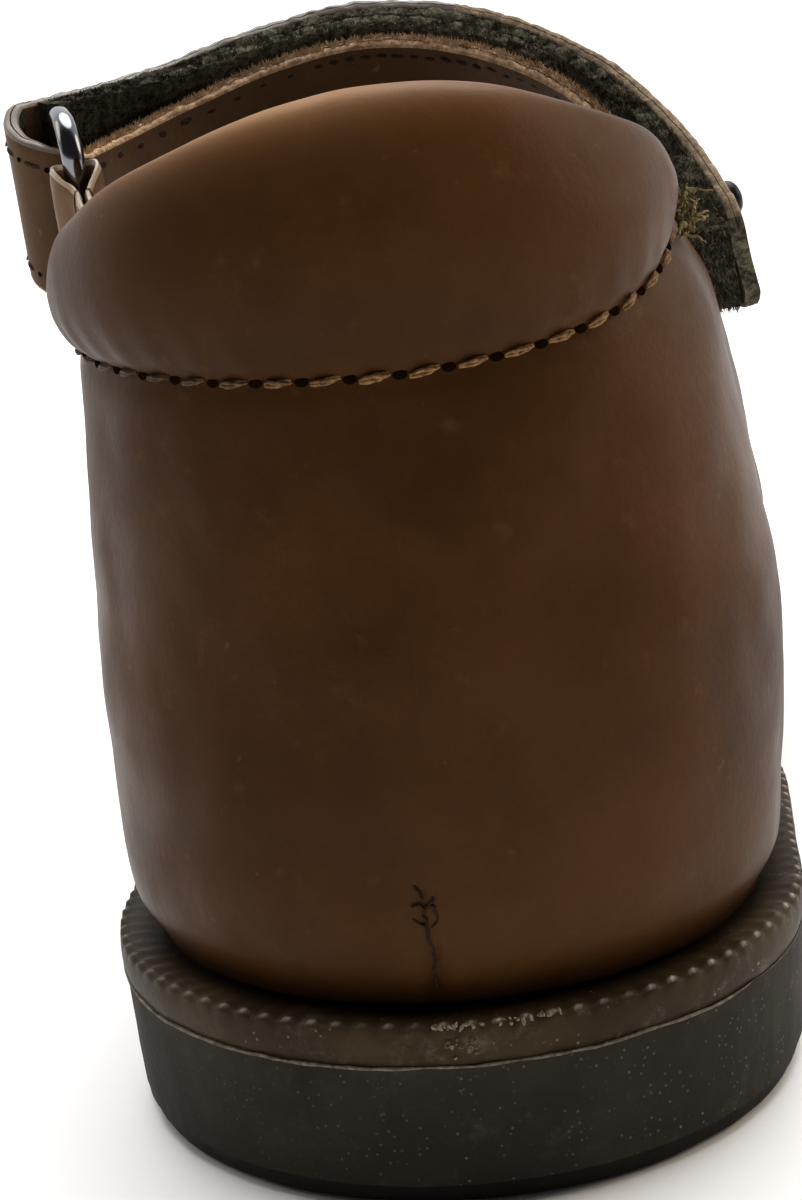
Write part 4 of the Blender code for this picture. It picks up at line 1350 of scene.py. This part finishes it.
def make_strap(path):
    """One ribbon: under the outer wall, over the instep, round the ring and back."""
    profile = strip_profile(STRAP_THICKNESS)
    through, across, side = profile.T
    heights = layer_heights()
    total = path["lengths"][-1]
    stations = 190
    inner_at = np.linspace(0.0, total, stations)
    inner = run_points(path, inner_at, heights["inner"][1] - through[None, :], across, 0.0, False)
    outer_at = np.concatenate((
        np.linspace(total, RETURN_START + TAB_LOW_CORNER, stations)[:-1],
        RETURN_START + TAB_LOW_CORNER * np.linspace(1, 0, 24) ** 2,
    ))
    outer = run_points(path, outer_at, heights["outer"][0] + through[None, :], across, 0.0, True)
    fold = fold_points(path, profile, 16)
    points = np.concatenate((inner, fold, outer))
    fray = lumps(points, 0.9, 2.0) * 0.16 + lumps(points, 0.35, 6.0) * 0.08
    fray *= side[None, :] % 2 == 1
    points += fray[..., None] * np.array((0.0, -0.3, 0.95))
    wave = lumps(points, 7.0, 4.0) * 0.16
    points += wave[..., None] * np.array((0.0, 0.4, 0.6))
    names = ("strap", "flesh", "raw", "fluff", "inner_edge", "worn_edge")
    number = {name: index for index, name in enumerate(names)}
    rows, columns = points.shape[:2]
    by_side = np.array([number[name] for name in ("flesh", "raw", "strap", "raw")])
    face_side = np.where(side % 2 == 1, side, np.roll(side, -1)).astype(int)
    kinds = np.tile(by_side[face_side], (rows - 1, 1))
    edge = face_side % 2 == 1
    middle = (through + np.roll(through, -1)) / 2
    seam = edge & (np.abs(middle - STRAP_THICKNESS / 2) < 0.05 * STRAP_THICKNESS)
    fold_start = len(inner)
    fold_end = fold_start + len(fold)
    kinds[:fold_start, edge] = number["inner_edge"]
    worn_end = fold_end + np.count_nonzero(outer_at > WORN_EDGE_FROM)
    kinds[fold_start:worn_end, edge] = number["worn_edge"]
    kinds[fold_start:fold_end, face_side == 0] = number["fluff"]
    kinds[:fold_end, seam] = number["flesh"]
    # The tab's end edges take the dark pile's colour: pile caught on them, and painted shade as the end
    # faces away from the light
    tab_start = fold_end + np.count_nonzero(outer_at >= RETURN_START + DARK_TAB_EDGE)
    kinds[tab_start:, edge] = number["fluff"]
    kinds = kinds.ravel().tolist() + [number["raw"], number["fluff"]]
    obj = piece("ankle_strap_leather", points, rod_faces(rows, columns), names, kinds, 50.0)
    return keep(obj, "strap_leather", "ankle_strap")


def fold_points(path, profile, count):
    """The half turn round the ring, rising by the lift of the return run."""
    frame = strap_frame(path, path["lengths"][-1])
    heights = layer_heights()
    low = heights["inner"][1]
    high = heights["outer"][0] + frame["out"]
    tight = (high - low) / 2
    centre = frame["point"] + frame["outward"] * (low + high) / 2
    rows = []
    for i in range(1, count):
        angle = math.pi * i / count
        away = frame["forward"] * math.sin(angle) - frame["outward"] * math.cos(angle)
        lift = frame["lift"] * i / count
        depth = tight + profile[:, 0]
        rows.append(centre + away * depth[:, None] + frame["width"] * (profile[:, 1] - lift)[:, None])
    return np.array(rows)


def make_loop_tape(path, end):
    """The strip of pile on the strap's inner run."""
    low, high = layer_heights()["loop"]
    through, across, _ = strip_profile(high - low, 0.25, 10, 2).T
    at = np.linspace(LOOP_START, end, 160)
    points = run_points(path, at, low + through[None, :], across, TAPE_MARGIN, False)
    points += (lumps(points, 0.8, 7.0) * 0.1)[..., None]
    obj = piece("loop_tape_pile", points, rod_faces(*points.shape[:2]), ["pile"])
    return keep(obj, "touch_tape", "loop_tape")


def pile_depth(distance):
    """How thick the fluffed-up pile of the return run is."""
    return 2.2 + 1.3 * (1 - smooth_step((distance - 26.0) / 14.0))


def pile_over_edge(distance):
    """How far the pile laps over the raw edge of the leather."""
    return 0.2 * smooth_step((distance - 30.0) / 12.0)


def pile_place(path, distance, through, across):
    """A point of the return run's pile: through it from the foot side, and across the strap."""
    outer = layer_heights()["outer"][0]
    lap = pile_over_edge(distance)[:, None] * smooth_step((1.6 - across) / 1.2)
    deep = pile_depth(distance)[:, None]
    off = outer - deep + through * (deep + lap) + lap * 0.2
    return run_points(path, distance, off, across, 0.15, True)


def make_pile(path, end):
    """The hook tape's fluffed pile: a lumpy strip under the fibres."""
    at = np.linspace(RETURN_START + 0.6, end + 1.0, 330)
    through, across, _ = strip_profile(1.0, 0.16, 26, 3).T
    points = pile_place(path, at, through[None, :], across)
    rough = 0.34 * lumps(points, 1.5, 7.0) + 0.2 * lumps(points, 0.6, 3.0)
    frames = strap_frames(path, at)
    outward = frames["outward"][:, None]
    width = frames["width"][:, None]
    points -= outward * (np.abs(rough) * (through < 0.5))[..., None]
    points -= width * (rough * (across < 1.0))[..., None]
    obj = piece("hook_tape_pile", points, rod_faces(*points.shape[:2]), ["fluff"])
    return keep(obj, "touch_tape", "hook_tape")


def blades(name, fibres, width, finish, slot, draw):
    """A piece of thin tapering fibres (root, direction, length), two crossed triangles each."""
    points = []
    faces = []
    for root, direction, length in fibres:
        sideways = unit(np.cross(direction, any_way(draw)))
        crossed = np.cross(direction, sideways)
        tip = root + direction * length
        start = len(points)
        points += [root - sideways * width, root + sideways * width, tip]
        points += [root - crossed * width, root + crossed * width]
        faces += [(start, start + 1, start + 2), (start + 3, start + 4, start + 2)]
    return keep(piece(name, np.array(points), faces, [finish]), slot)


def pile_fibres(path, end, row):
    """Fibres on the top, the foot side or the end of the return run's pile."""
    draw = random.Random(row["seed"])
    if row["where"] == "end":
        at = np.full(row["count"], RETURN_START + 0.65)
    else:
        at = np.array([draw.uniform(RETURN_START + 0.8, end) for _ in range(row["count"])])
    frames = strap_frames(path, at)
    fibres = []
    for k in range(row["count"]):
        forward = frames["forward"][k]
        outward = frames["outward"][k]
        width = frames["width"][k]
        through = 0.0 if row["where"] == "side" else draw.uniform(0.0, 1.0)
        worn = 1 - 0.55 * float(smooth_step((at[k] - 26.0) / 12.0))
        if row["where"] == "end":
            across = draw.uniform(0.3, STRAP_WIDTH)
            heading = width * draw.uniform(-0.5, 1.1) + outward * draw.uniform(-0.9, 0.7) - forward
        elif row["where"] == "top":
            across = 0.1
            lean = forward * draw.uniform(-1.0, 1.0) + outward * draw.uniform(-0.6, 0.6)
            heading = lean - width
        else:
            across = draw.uniform(0.0, STRAP_WIDTH - 1.0 if at[k] < LOOP_START + 6.0 else 4.5)
            lean = forward * draw.uniform(-1.0, 1.0) + outward * draw.uniform(-0.6, 0.6)
            heading = lean - outward * 0.8 - width * 0.3
        root = pile_place(path, at[k:k + 1], np.array([[through]]), np.array([across]))[0, 0]
        fibres.append((root, unit(heading), row["length"] * worn * draw.uniform(0.4, 1.1)))
    return blades(row["name"], fibres, row["width"], row["material"], "touch_tape", draw)


def edge_fibres(path, end, row):
    """Fibres standing on the top edge of one layer of the inner run."""
    draw = random.Random(row["seed"])
    at = np.array([draw.uniform(row["start"], end) for _ in range(row["count"])])
    frames = strap_frames(path, at)
    low, high = layer_heights()[row["layer"]]
    fibres = []
    for k in range(row["count"]):
        outward = frames["outward"][k]
        width = frames["width"][k]
        off = high - (high - low) * 0.7 * draw.random() ** 2
        root = frames["point"][k] + outward * off + width * 0.12
        lean = frames["forward"][k] * draw.uniform(-0.9, 0.9) + outward * draw.uniform(-0.5, 0.4)
        fibres.append((root, unit(lean - width), row["length"] * draw.uniform(0.3, 1.1)))
    return blades(row["name"], fibres, row["width"], row["material"], row["slot"], draw)


def outside_point(path, distance, down):
    """A point on the strap's smooth outside: the return run, then the fold round the ring."""
    total = float(path["lengths"][-1])
    heights = layer_heights()
    frame = strap_frame(path, min(distance, total))
    if distance <= total:
        flare = float(tab_flare(distance)) * down / STRAP_WIDTH
        off = heights["outer"][1] + frame["out"] + flare
        normal = frame["outward"]
        point = frame["point"] + normal * off + frame["width"] * (down - frame["lift"])
        return point, normal, frame["width"]
    low = heights["inner"][1]
    high = heights["outer"][0] + frame["out"]
    wide = (high - low) / 2 + STRAP_THICKNESS
    angle = math.pi - min((distance - total) / wide, math.pi)
    away = frame["forward"] * math.sin(angle) - frame["outward"] * math.cos(angle)
    centre = frame["point"] + frame["outward"] * (low + high) / 2
    lift = frame["lift"] * angle / math.pi
    return centre + away * wide + frame["width"] * (down - lift), away, frame["width"]


def strap_sewing(path):
    """Stitches along both edges of the strap's outside, and dark dashes on its foot side."""
    draw = random.Random(12)
    threads = []
    dashes = []
    marks = []
    total = float(path["lengths"][-1])
    for down in (STRAP_SEWING_FROM_TOP, STRAP_WIDTH - STRAP_SEWING_FROM_LOW):
        at = RETURN_START + STRAP_SEWING_FROM_END
        while at < total + STRAP_SEWING_PAST_RING:
            start, normal, _ = outside_point(path, at - STRAP_STITCH_LENGTH / 2, down)
            end, _, _ = outside_point(path, at + STRAP_STITCH_LENGTH / 2, down)
            threads.append(twisted_thread(start, end, normal, STRAP_STITCH_RADIUS))
            hole, normal, _ = outside_point(path, at + STRAP_SEWING_PITCH / 2, down)
            dashes.append(pit(hole, normal, unit(end - start), 0.8, 0.45))
            at += STRAP_SEWING_PITCH
        at = FOOT_SIDE_MARKS_START
        while at < total - 1.0:
            frame = strap_frame(path, at)
            side = FOOT_SIDE_MARKS_FROM_TOP if down == STRAP_SEWING_FROM_TOP else down
            side += draw.uniform(-0.12, 0.12)
            centre = frame["point"] + frame["width"] * side
            along = unit(frame["forward"] + frame["width"] * draw.uniform(-0.3, 0.1))
            size = draw.uniform(0.8, 1.3)
            marks.append(pit(centre, -frame["outward"], along, size, draw.uniform(0.35, 0.6)))
            dense = DENSE_MARKS[0] < at < DENSE_MARKS[1]
            at += DENSE_MARKS_PITCH if dense else STRAP_SEWING_PITCH
    bundle("strap_thread", threads, "brown_thread", "strap_leather")
    bundle("strap_needle_holes", dashes, "hole", "strap_leather")
    bundle("strap_inner_stitches", marks, "dirt", "strap_leather")


# Ring, keeper and stud

def ring_frame(path):
    """Top of the ring's front bar, with the ring's own directions."""
    frame = strap_frame(path, path["lengths"][-1])
    centre_off = STRAP_THICKNESS + RING_WIRE / 2 + 2 * GAP
    top = frame["point"] + frame["outward"] * centre_off - frame["width"] * RING_TOP_ABOVE_STRAP
    down = frame["width"]
    back = np.array(RING_BACK)
    back = unit(back - down * (back @ down))
    return {"top": top, "down": down, "back": back, "across": np.cross(down, back)}


def make_ring(path):
    frame = ring_frame(path)
    corners = (
        (RING_CORNER, RING_CORNER, 180),
        (RING_REACH - RING_CORNER, RING_CORNER, 270),
        (RING_REACH - RING_CORNER, RING_LENGTH - RING_CORNER, 0),
        (RING_CORNER, RING_LENGTH - RING_CORNER, 90),
    )
    points = []
    for back, down, start in corners:
        for i in range(RING_CORNER_STEPS + 1):
            angle = math.radians(start + 90 * i / RING_CORNER_STEPS)
            across = back + RING_CORNER * math.cos(angle)
            along = down + RING_CORNER * math.sin(angle)
            points.append(frame["top"] + frame["back"] * across + frame["down"] * along)
    made = tube(np.array(points), RING_WIRE / 2, 20, closed=True)
    return keep(piece("wire_ring", *made, ["chrome"]), "ring_metal", "ring")


def keeper_path():
    """Plan of the keeper's middle line round the bar: across it and behind it."""
    radius = RING_WIRE / 2 + GAP + KEEPER_THICKNESS / 2
    rows = []
    for leg in np.linspace(KEEPER_LEG, 0.0, 22)[:-1]:
        pinch = (KEEPER_PINCH + KEEPER_SEWN) * smooth_step(leg / KEEPER_PINCHED_FROM)
        rows.append((radius - float(pinch), leg))
    half = [(radius * math.cos(a), -radius * math.sin(a)) for a in np.linspace(0, math.pi, 25)]
    mirrored = [(-across, behind) for across, behind in rows[::-1]]
    return np.array(rows + half + mirrored)


def make_keeper(path):
    """A thin leather loop round the ring's rear bar, drawn together at the collar's corner."""
    frame = ring_frame(path)
    bar = frame["top"] + frame["back"] * RING_REACH + frame["down"] * KEEPER_DROP
    out = frame["across"] if frame["across"][0] < 0 else -frame["across"]
    plan = keeper_path()
    run = np.gradient(plan, axis=0)
    run /= np.linalg.norm(run, axis=1, keepdims=True)
    side = np.stack((-run[:, 1], run[:, 0]), axis=1)
    levels = (0.0, 0.05, 0.15, 0.3, 0.5, 0.7, 0.85, 0.95, 1.0)
    profile = [(level, 0.5) for level in levels] + [(level, -0.5) for level in levels[::-1]]
    rows = []
    for (across, behind), normal in zip(plan, side):
        ear = 0.3 * math.exp(-(((abs(across) - 1.5) / 0.6) ** 2)) * (behind < 2.0)
        top = KEEPER_SLOPE * max(behind, 0.0) - ear
        section = []
        for level, face in profile:
            thick = KEEPER_THICKNESS * (0.55 + 0.45 * min(level * 4, 1.0)) * face
            thick *= 1 - 0.5 * (level in (0.0, 1.0))
            flare = 1 + 0.12 * (1 - level) * (behind < 2.5)
            u = across * flare + normal[0] * thick
            v = behind * flare + normal[1] * thick
            height = top + (KEEPER_WIDTH - top) * level
            section.append(bar + out * u + frame["back"] * v + frame["down"] * height)
        rows.append(section)
    rows = np.array(rows)
    rows += (0.1 * lumps(rows, 1.3, 2.0))[..., None]
    count = len(profile)
    faces = rod_faces(len(rows), count)
    top_faces = (0, count - 2, count - 1)
    kinds = [int(face % count in top_faces) for face in range((len(rows) - 1) * count)] + [0, 0]
    obj = piece("ring_keeper_loop", rows, faces, ["keeper", "keeper_edge"], kinds)
    return keep(obj, "strap_leather", "ring_keeper")


def make_stud(path):
    """A low domed head on the outer face of the tab."""
    distance = RETURN_START + STUD_FROM_END
    before, _, _ = outside_point(path, distance - 2.0, STUD_FROM_EDGE)
    after, _, _ = outside_point(path, distance + 2.0, STUD_FROM_EDGE)
    face, _, width = outside_point(path, distance, STUD_FROM_EDGE)
    run = unit(after - before)
    normal = unit(np.cross(width, run))
    rows = ((-0.2, 1.0), (0.35, 1.0), (0.6, 0.9), (0.8, 0.72), (0.94, 0.45), (1.0, 0.15))
    sides = 28
    points = []
    for height, share in rows:
        for i in range(sides):
            angle = 2 * math.pi * i / sides
            around = run * math.cos(angle) + width * math.sin(angle)
            points.append(face + normal * height * STUD_HEIGHT + around * STUD_RADIUS * share)
    obj = piece("tab_stud", points, rod_faces(len(rows), sides), ["dark_metal"])
    return keep(obj, "stud_metal", "stud")


# Sole

def outline(inset, steps):
    """Distance along and share of the half width, from the back point to the front one."""
    heel = HEEL_RADIUS - inset
    toe = TOE_RADIUS - inset
    heel_steps, side_steps, toe_steps = steps
    points = []
    for i in range(heel_steps):
        angle = math.pi / 2 * i / heel_steps
        points.append((inset + heel * (1 - math.cos(angle)), math.sin(angle)))
    side = LENGTH - 2 * inset - heel - toe
    for i in range(side_steps):
        points.append((inset + heel + side * i / side_steps, 1.0))
    for i in range(toe_steps + 1):
        angle = math.pi / 2 * i / toe_steps
        points.append((LENGTH - inset - toe + toe * math.sin(angle), math.cos(angle)))
    return np.array(points)


def mirrored_ring(a, half, height):
    """A level ring round the sole's axis, from the back along the outer side and home again."""
    outer = place(sole_axis(a) + half, a, height)
    inner = place(sole_axis(a) - half, a, height)[-2:0:-1]
    return np.concatenate((outer, inner))


def sole_rings(rows, low, high, steps):
    """Rings of the sole's outline between two heights given by distance along."""
    rings = []
    for row in rows:
        a, share = outline(row["inset"], steps).T
        height = low(a) + (high(a) - low(a)) * row["up"] + row["above"]
        rings.append(mirrored_ring(a, (sole_half(a) - row["inset"]) * share, height))
    return np.array(rings)


def capped(rings):
    """Faces of stacked rings, each cap made of strips from side to side of the foot."""
    count = rings.shape[1]
    faces = grid_faces(len(rings), count, close_columns=True).tolist()
    for start in (0, (len(rings) - 1) * count):
        for i in range(count // 2):
            corners = [start + i, start + i + 1]
            corners += [start + (count - i - 1) % count, start + (count - i) % count]
            faces.append([v for k, v in enumerate(corners) if v not in corners[:k]])
    return faces


def ring_length(ring_points):
    steps = np.linalg.norm(np.roll(ring_points, -1, axis=0) - ring_points, axis=1)
    return np.concatenate(([0.0], np.cumsum(steps)[:-1])), steps.sum()


def outward_of(ring_points):
    """Level outward direction at each point of a ring."""
    run = np.roll(ring_points, -1, axis=0) - np.roll(ring_points, 1, axis=0)
    out = np.stack((run[:, 1], -run[:, 0], np.zeros(len(run))), axis=1)
    middle = ring_points.mean(axis=0)
    out = unit(out)
    turned = np.sum(out * (ring_points - middle), axis=1) < 0
    out[turned] *= -1
    return out


def make_welt():
    """The ribbed ledge round the upper."""
    rings = sole_rings(WELT_WALL, parting, deck, WELT_STEPS)
    length, total = ring_length(rings[RIB_RING])
    ribs = round(total / RIB_PITCH)
    phase = length / total * ribs * 2 * math.pi
    ridge = (0.5 + 0.5 * np.cos(phase)) ** 0.7
    out = outward_of(rings[DIRECTION_RING])
    for row, ring_points in zip(WELT_WALL, rings):
        worn = 0.75 + 0.35 * lumps(ring_points, 6.0, 1.0)
        ring_points[:, 2] += RIB_HEIGHT * row["rib"] * (ridge - 0.6) * worn
        if row["up"] < 1.0:
            ring_points += out * (row["rib"] * 0.22 * ridge * worn)[:, None]
        ring_points += out * (0.07 * lumps(ring_points, 3.0, 5.0))[:, None]
    obj = piece("welt_rubber", rings, capped(rings), ["welt"], smooth_angle=70.0)
    # Painted shade by row, deepest in the gap under the upper and left off the ribs' tops so it gathers
    # between them.
    shade = np.array([row["shade"] - 0.6 * row["rib"] * (row["shade"] < 0.5) * ridge for row in WELT_WALL])
    store(obj.data, "shade", np.clip(shade, 0.0, 1.0))
    # Painted highlight: pale glints on the beads at the ledge's edge, fainter towards the inner side,
    # stored as "tip".
    tip = np.array([(row["rib"] > 0.97) * ridge**9 for row in WELT_WALL])
    outward = smooth_step((rings[..., 0] + 20.0) / 14.0)
    tip = tip * (0.6 + 0.9 * lumps(rings, 2.5, 2.0)) * (0.3 + 0.7 * outward)
    store(obj.data, "tip", np.clip(tip, 0.0, 1.0))
    return keep(obj, "welt_rubber", "welt")


def make_flash_line():
    """The thin uneven lip of rubber along the parting of the two layers."""
    rows = table("up above inset", (0.0, 0.0, 0.16))
    ring_points = sole_rings(rows, parting, parting, WELT_STEPS)[0]
    out = outward_of(ring_points)
    ring_points += out * (0.05 * lumps(ring_points, 2.0, 4.0))[:, None]
    ring_points[:, 2] += 0.16 * lumps(ring_points, 5.0, 8.0) + 0.06 * lumps(ring_points, 1.0, 2.0)
    radius = 0.13 + 0.07 * lumps(ring_points, 2.2, 6.0)
    worn = smooth_step((ring_points[:, 0] - 21.0) / 5.0) * (ring_points[:, 1] < -20)
    radius = np.maximum(radius * (1 - 0.8 * worn), 0.02)
    made = tube(ring_points, radius, 8, closed=True)
    return keep(piece("parting_lip", *made, ["flash"]), "welt_rubber")


def welt_point(girth, up, off):
    """A point on the welt's wall behind the heel."""
    angle = girth / HEEL_RADIUS
    a = HEEL_RADIUS * (1 - math.cos(angle)) - off * math.cos(angle)
    x = float(sole_axis(0.0)) + (HEEL_RADIUS + off) * math.sin(angle)
    low = float(parting(0.0))
    return place(x, a, low + (float(deck(0.0)) - low) * up)


def make_welt_dirt():
    """Pale glossy blobs on the ledge, painted glints on the beads, and crumbs of dirt below them."""
    draw = random.Random(21)
    for row in WELT_CRUMBS:
        crumbs = []
        for _ in range(row["count"]):
            girth = row["girth"] + row["spread"] * draw.uniform(-1.0, 1.0)
            centre = welt_point(girth, draw.gauss(row["up"], row["up_spread"]), row["off"])
            size = draw.uniform(0.06, row["size"])
            stretch = any_way(draw) * size * 1.6
            ends = centre + np.linspace(-1, 1, 5)[:, None] * stretch
            crumbs.append(tube(ends, size * np.array((0.3, 0.8, 1.0, 0.7, 0.3)), 6))
        bundle(row["name"], crumbs, row["material"], "welt_rubber")


def make_outsole():
    """The lower rubber layer with its main grooves."""
    rings = sole_rings(OUTSOLE_WALL, base, parting, OUTSOLE_STEPS)
    out = outward_of(rings[DIRECTION_RING])
    for row, ring_points in zip(OUTSOLE_WALL[1:-1], rings[1:-1]):
        ring_points += out * (0.1 * lumps(ring_points, 4.0, 2.0))[:, None]
        ring_points += out * (0.05 * lumps(ring_points, 1.2, 6.0))[:, None]
        if row["up"] > 0:
            ring_points[:, 2] += 0.06 * lumps(ring_points, 2.5, 3.0)
    obj = piece("outsole_rubber", rings, capped(rings), ["outsole"], smooth_angle=35.0)
    shade = np.zeros(rings.shape[:2])
    # Painted shade on the lowest rings, which face the floor.
    shade[:SHADED_LOW_RINGS] = 0.8
    store(obj.data, "shade", shade)
    cutter = groove_cutter()
    modifier = obj.modifiers.new("grooves", "BOOLEAN")
    configured(modifier, operation="DIFFERENCE", solver="EXACT", object=cutter)
    bpy.context.view_layer.objects.active = obj
    with bpy.context.temp_override(object=obj, active_object=obj):
        bpy.ops.object.modifier_apply(modifier=modifier.name)
    bpy.data.objects.remove(cutter)
    return keep(obj, "outsole_rubber", "outsole")


def groove_cutter():
    """All grooves of the underside as one object of separate boxes."""
    boxes = bmesh.new()
    for a in HEEL_GROOVES + FOREFOOT_GROOVES:
        share = 1.0
        toe_start = LENGTH - TOE_RADIUS
        if a < HEEL_RADIUS:
            share = math.sqrt(1 - (1 - a / HEEL_RADIUS) ** 2)
        elif a > toe_start:
            share = math.sqrt(1 - ((a - toe_start) / TOE_RADIUS) ** 2)
        half = float(sole_half(a)) * share - GROOVE_MARGIN
        slope = math.atan2(float(base(a + 1) - base(a - 1)), 2.0)
        size = Matrix.Diagonal((2 * half * MM, GROOVE_WIDTH * MM, 2 * GROOVE_DEPTH * MM, 1.0))
        where = place(float(sole_axis(a)), a, float(base(a))) * MM
        turn = Matrix.Translation(Vector(where)) @ Matrix.Rotation(slope, 4, "X") @ size
        bmesh.ops.create_cube(boxes, size=1.0, matrix=turn)
    mesh = bpy.data.meshes.new("grooves")
    boxes.to_mesh(mesh)
    boxes.free()
    return add("grooves", mesh)


def make_insole():
    """Leather footbed with a slightly raised rim."""
    top = GAP + INSOLE_THICKNESS
    rows = table(
        "above inset",
        (GAP, 0.8),
        (GAP + 0.8, 0.0),
        (GAP + 2.0, 0.0),
        (top + 0.4, 0.1),
        (top + 0.55, 0.5),
        (top + 0.45, 1.4),
        (top + 0.15, 2.8),
        (top, 4.0),
    )
    rings = []
    for row in rows:
        a, share = outline(row["inset"], INSOLE_STEPS).T
        a = INSOLE_BACK + a * (LENGTH - INSOLE_SHORTER) / LENGTH
        eased = np.clip((a - INSOLE_TOE_EASE_FROM) / INSOLE_TOE_EASE_LENGTH, 0.0, 1.0)
        inset = INSOLE_BACK - INSOLE_TOE_EASE * eased
        half = (sole_half(a) - inset - row["inset"]) * share
        rings.append(mirrored_ring(a, half, deck(a) + row["above"]))
    rings = np.array(rings)
    obj = piece("footbed", rings, capped(rings), ["footbed"])
    return keep(obj, "footbed_leather", "insole")


# Studio

def make_camera():
    """The photograph's camera, turned from looking down by elevation, azimuth and roll."""
    data = configured(bpy.data.cameras.new("camera"), lens=CAMERA_LENS, clip_start=0.005)
    camera = add("camera", configured(data, sensor_fit="AUTO", sensor_width=SENSOR_LONG_SIDE))
    turn = Matrix.Rotation(math.radians(CAMERA_AZIMUTH), 4, "Z")
    turn @= Matrix.Rotation(math.radians(90.0 - CAMERA_ELEVATION), 4, "X")
    turn @= Matrix.Rotation(math.radians(CAMERA_ROLL), 4, "Z")
    camera.matrix_world = Matrix.Translation(Vector(CAMERA_EYE) * MM) @ turn
    bpy.context.scene.camera = camera


def side_light(name, x, power, colour):
    """A warm disk beside the sandal."""
    data = bpy.data.lights.new(name, "AREA")
    obj = add(name, configured(data, shape="DISK", size=SIDE_LIGHT_SIZE, energy=power, color=colour))
    obj.location = (x, SIDE_LIGHT_AHEAD, SIDE_LIGHT_HEIGHT)
    aim = Vector(LIT_POINT) - obj.location
    obj.rotation_euler = aim.to_track_quat("-Z", "Y").to_euler()


def make_studio():
    """Pale floor, a bright far side, a dark near side and a soft light from above."""
    corners = ((-1, -1, 0), (1, -1, 0), (1, 1, 0), (-1, 1, 0))
    floor = piece("floor", np.array(corners) * FLOOR_HALF / MM, [(0, 1, 2, 3)], ["floor"])
    world = bpy.data.worlds.new("studio")
    world.use_nodes = True
    bpy.context.scene.world = world
    tree = world.node_tree
    direction = node(tree, "ShaderNodeTexCoord", {}).outputs["Generated"]
    split = node(tree, "ShaderNodeSeparateXYZ", {"Vector": direction})
    far = fade(tree, split.outputs["Y"], -0.3, 0.45, 0.05, 1.0)
    fill(tree, tree.nodes["Background"], {"Color": far, "Strength": 1.0})
    sky = bpy.data.lights.new("sky_light", "SUN")
    configured(sky, energy=SKY_STRENGTH, angle=math.radians(SKY_SPREAD))
    add("sky_light", sky).rotation_euler = (math.radians(SKY_TILT), 0.0, 0.0)
    side_light("left_light", -0.5, 0.5, (1.0, 0.8, 0.62))
    side_light("right_light", 0.5, 1.15, (1.0, 0.78, 0.56))
    bpy.context.scene.view_settings.view_transform = "Standard"


def main():
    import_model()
    make_materials()
    make_camera()
    make_studio()
    make_outsole()
    make_welt()
    make_flash_line()
    make_welt_dirt()
    make_insole()
    upper = make_upper()
    make_edge_sewing(upper.data)
    make_collar()
    make_collar_stitches()
    make_frayed_end()
    make_dart()
    path = strap_path()
    total = float(path["lengths"][-1])
    make_strap(path)
    loop_end = total - TAPE_END_MARGIN
    make_loop_tape(path, loop_end)
    make_pile(path, loop_end)
    for row in PILE_FIBRES:
        pile_fibres(path, loop_end, row)
    for row in EDGE_FIBRES:
        edge_fibres(path, loop_end if row["layer"] == "loop" else total, row)
    strap_sewing(path)
    make_ring(path)
    make_keeper(path)
    make_stud(path)


main()
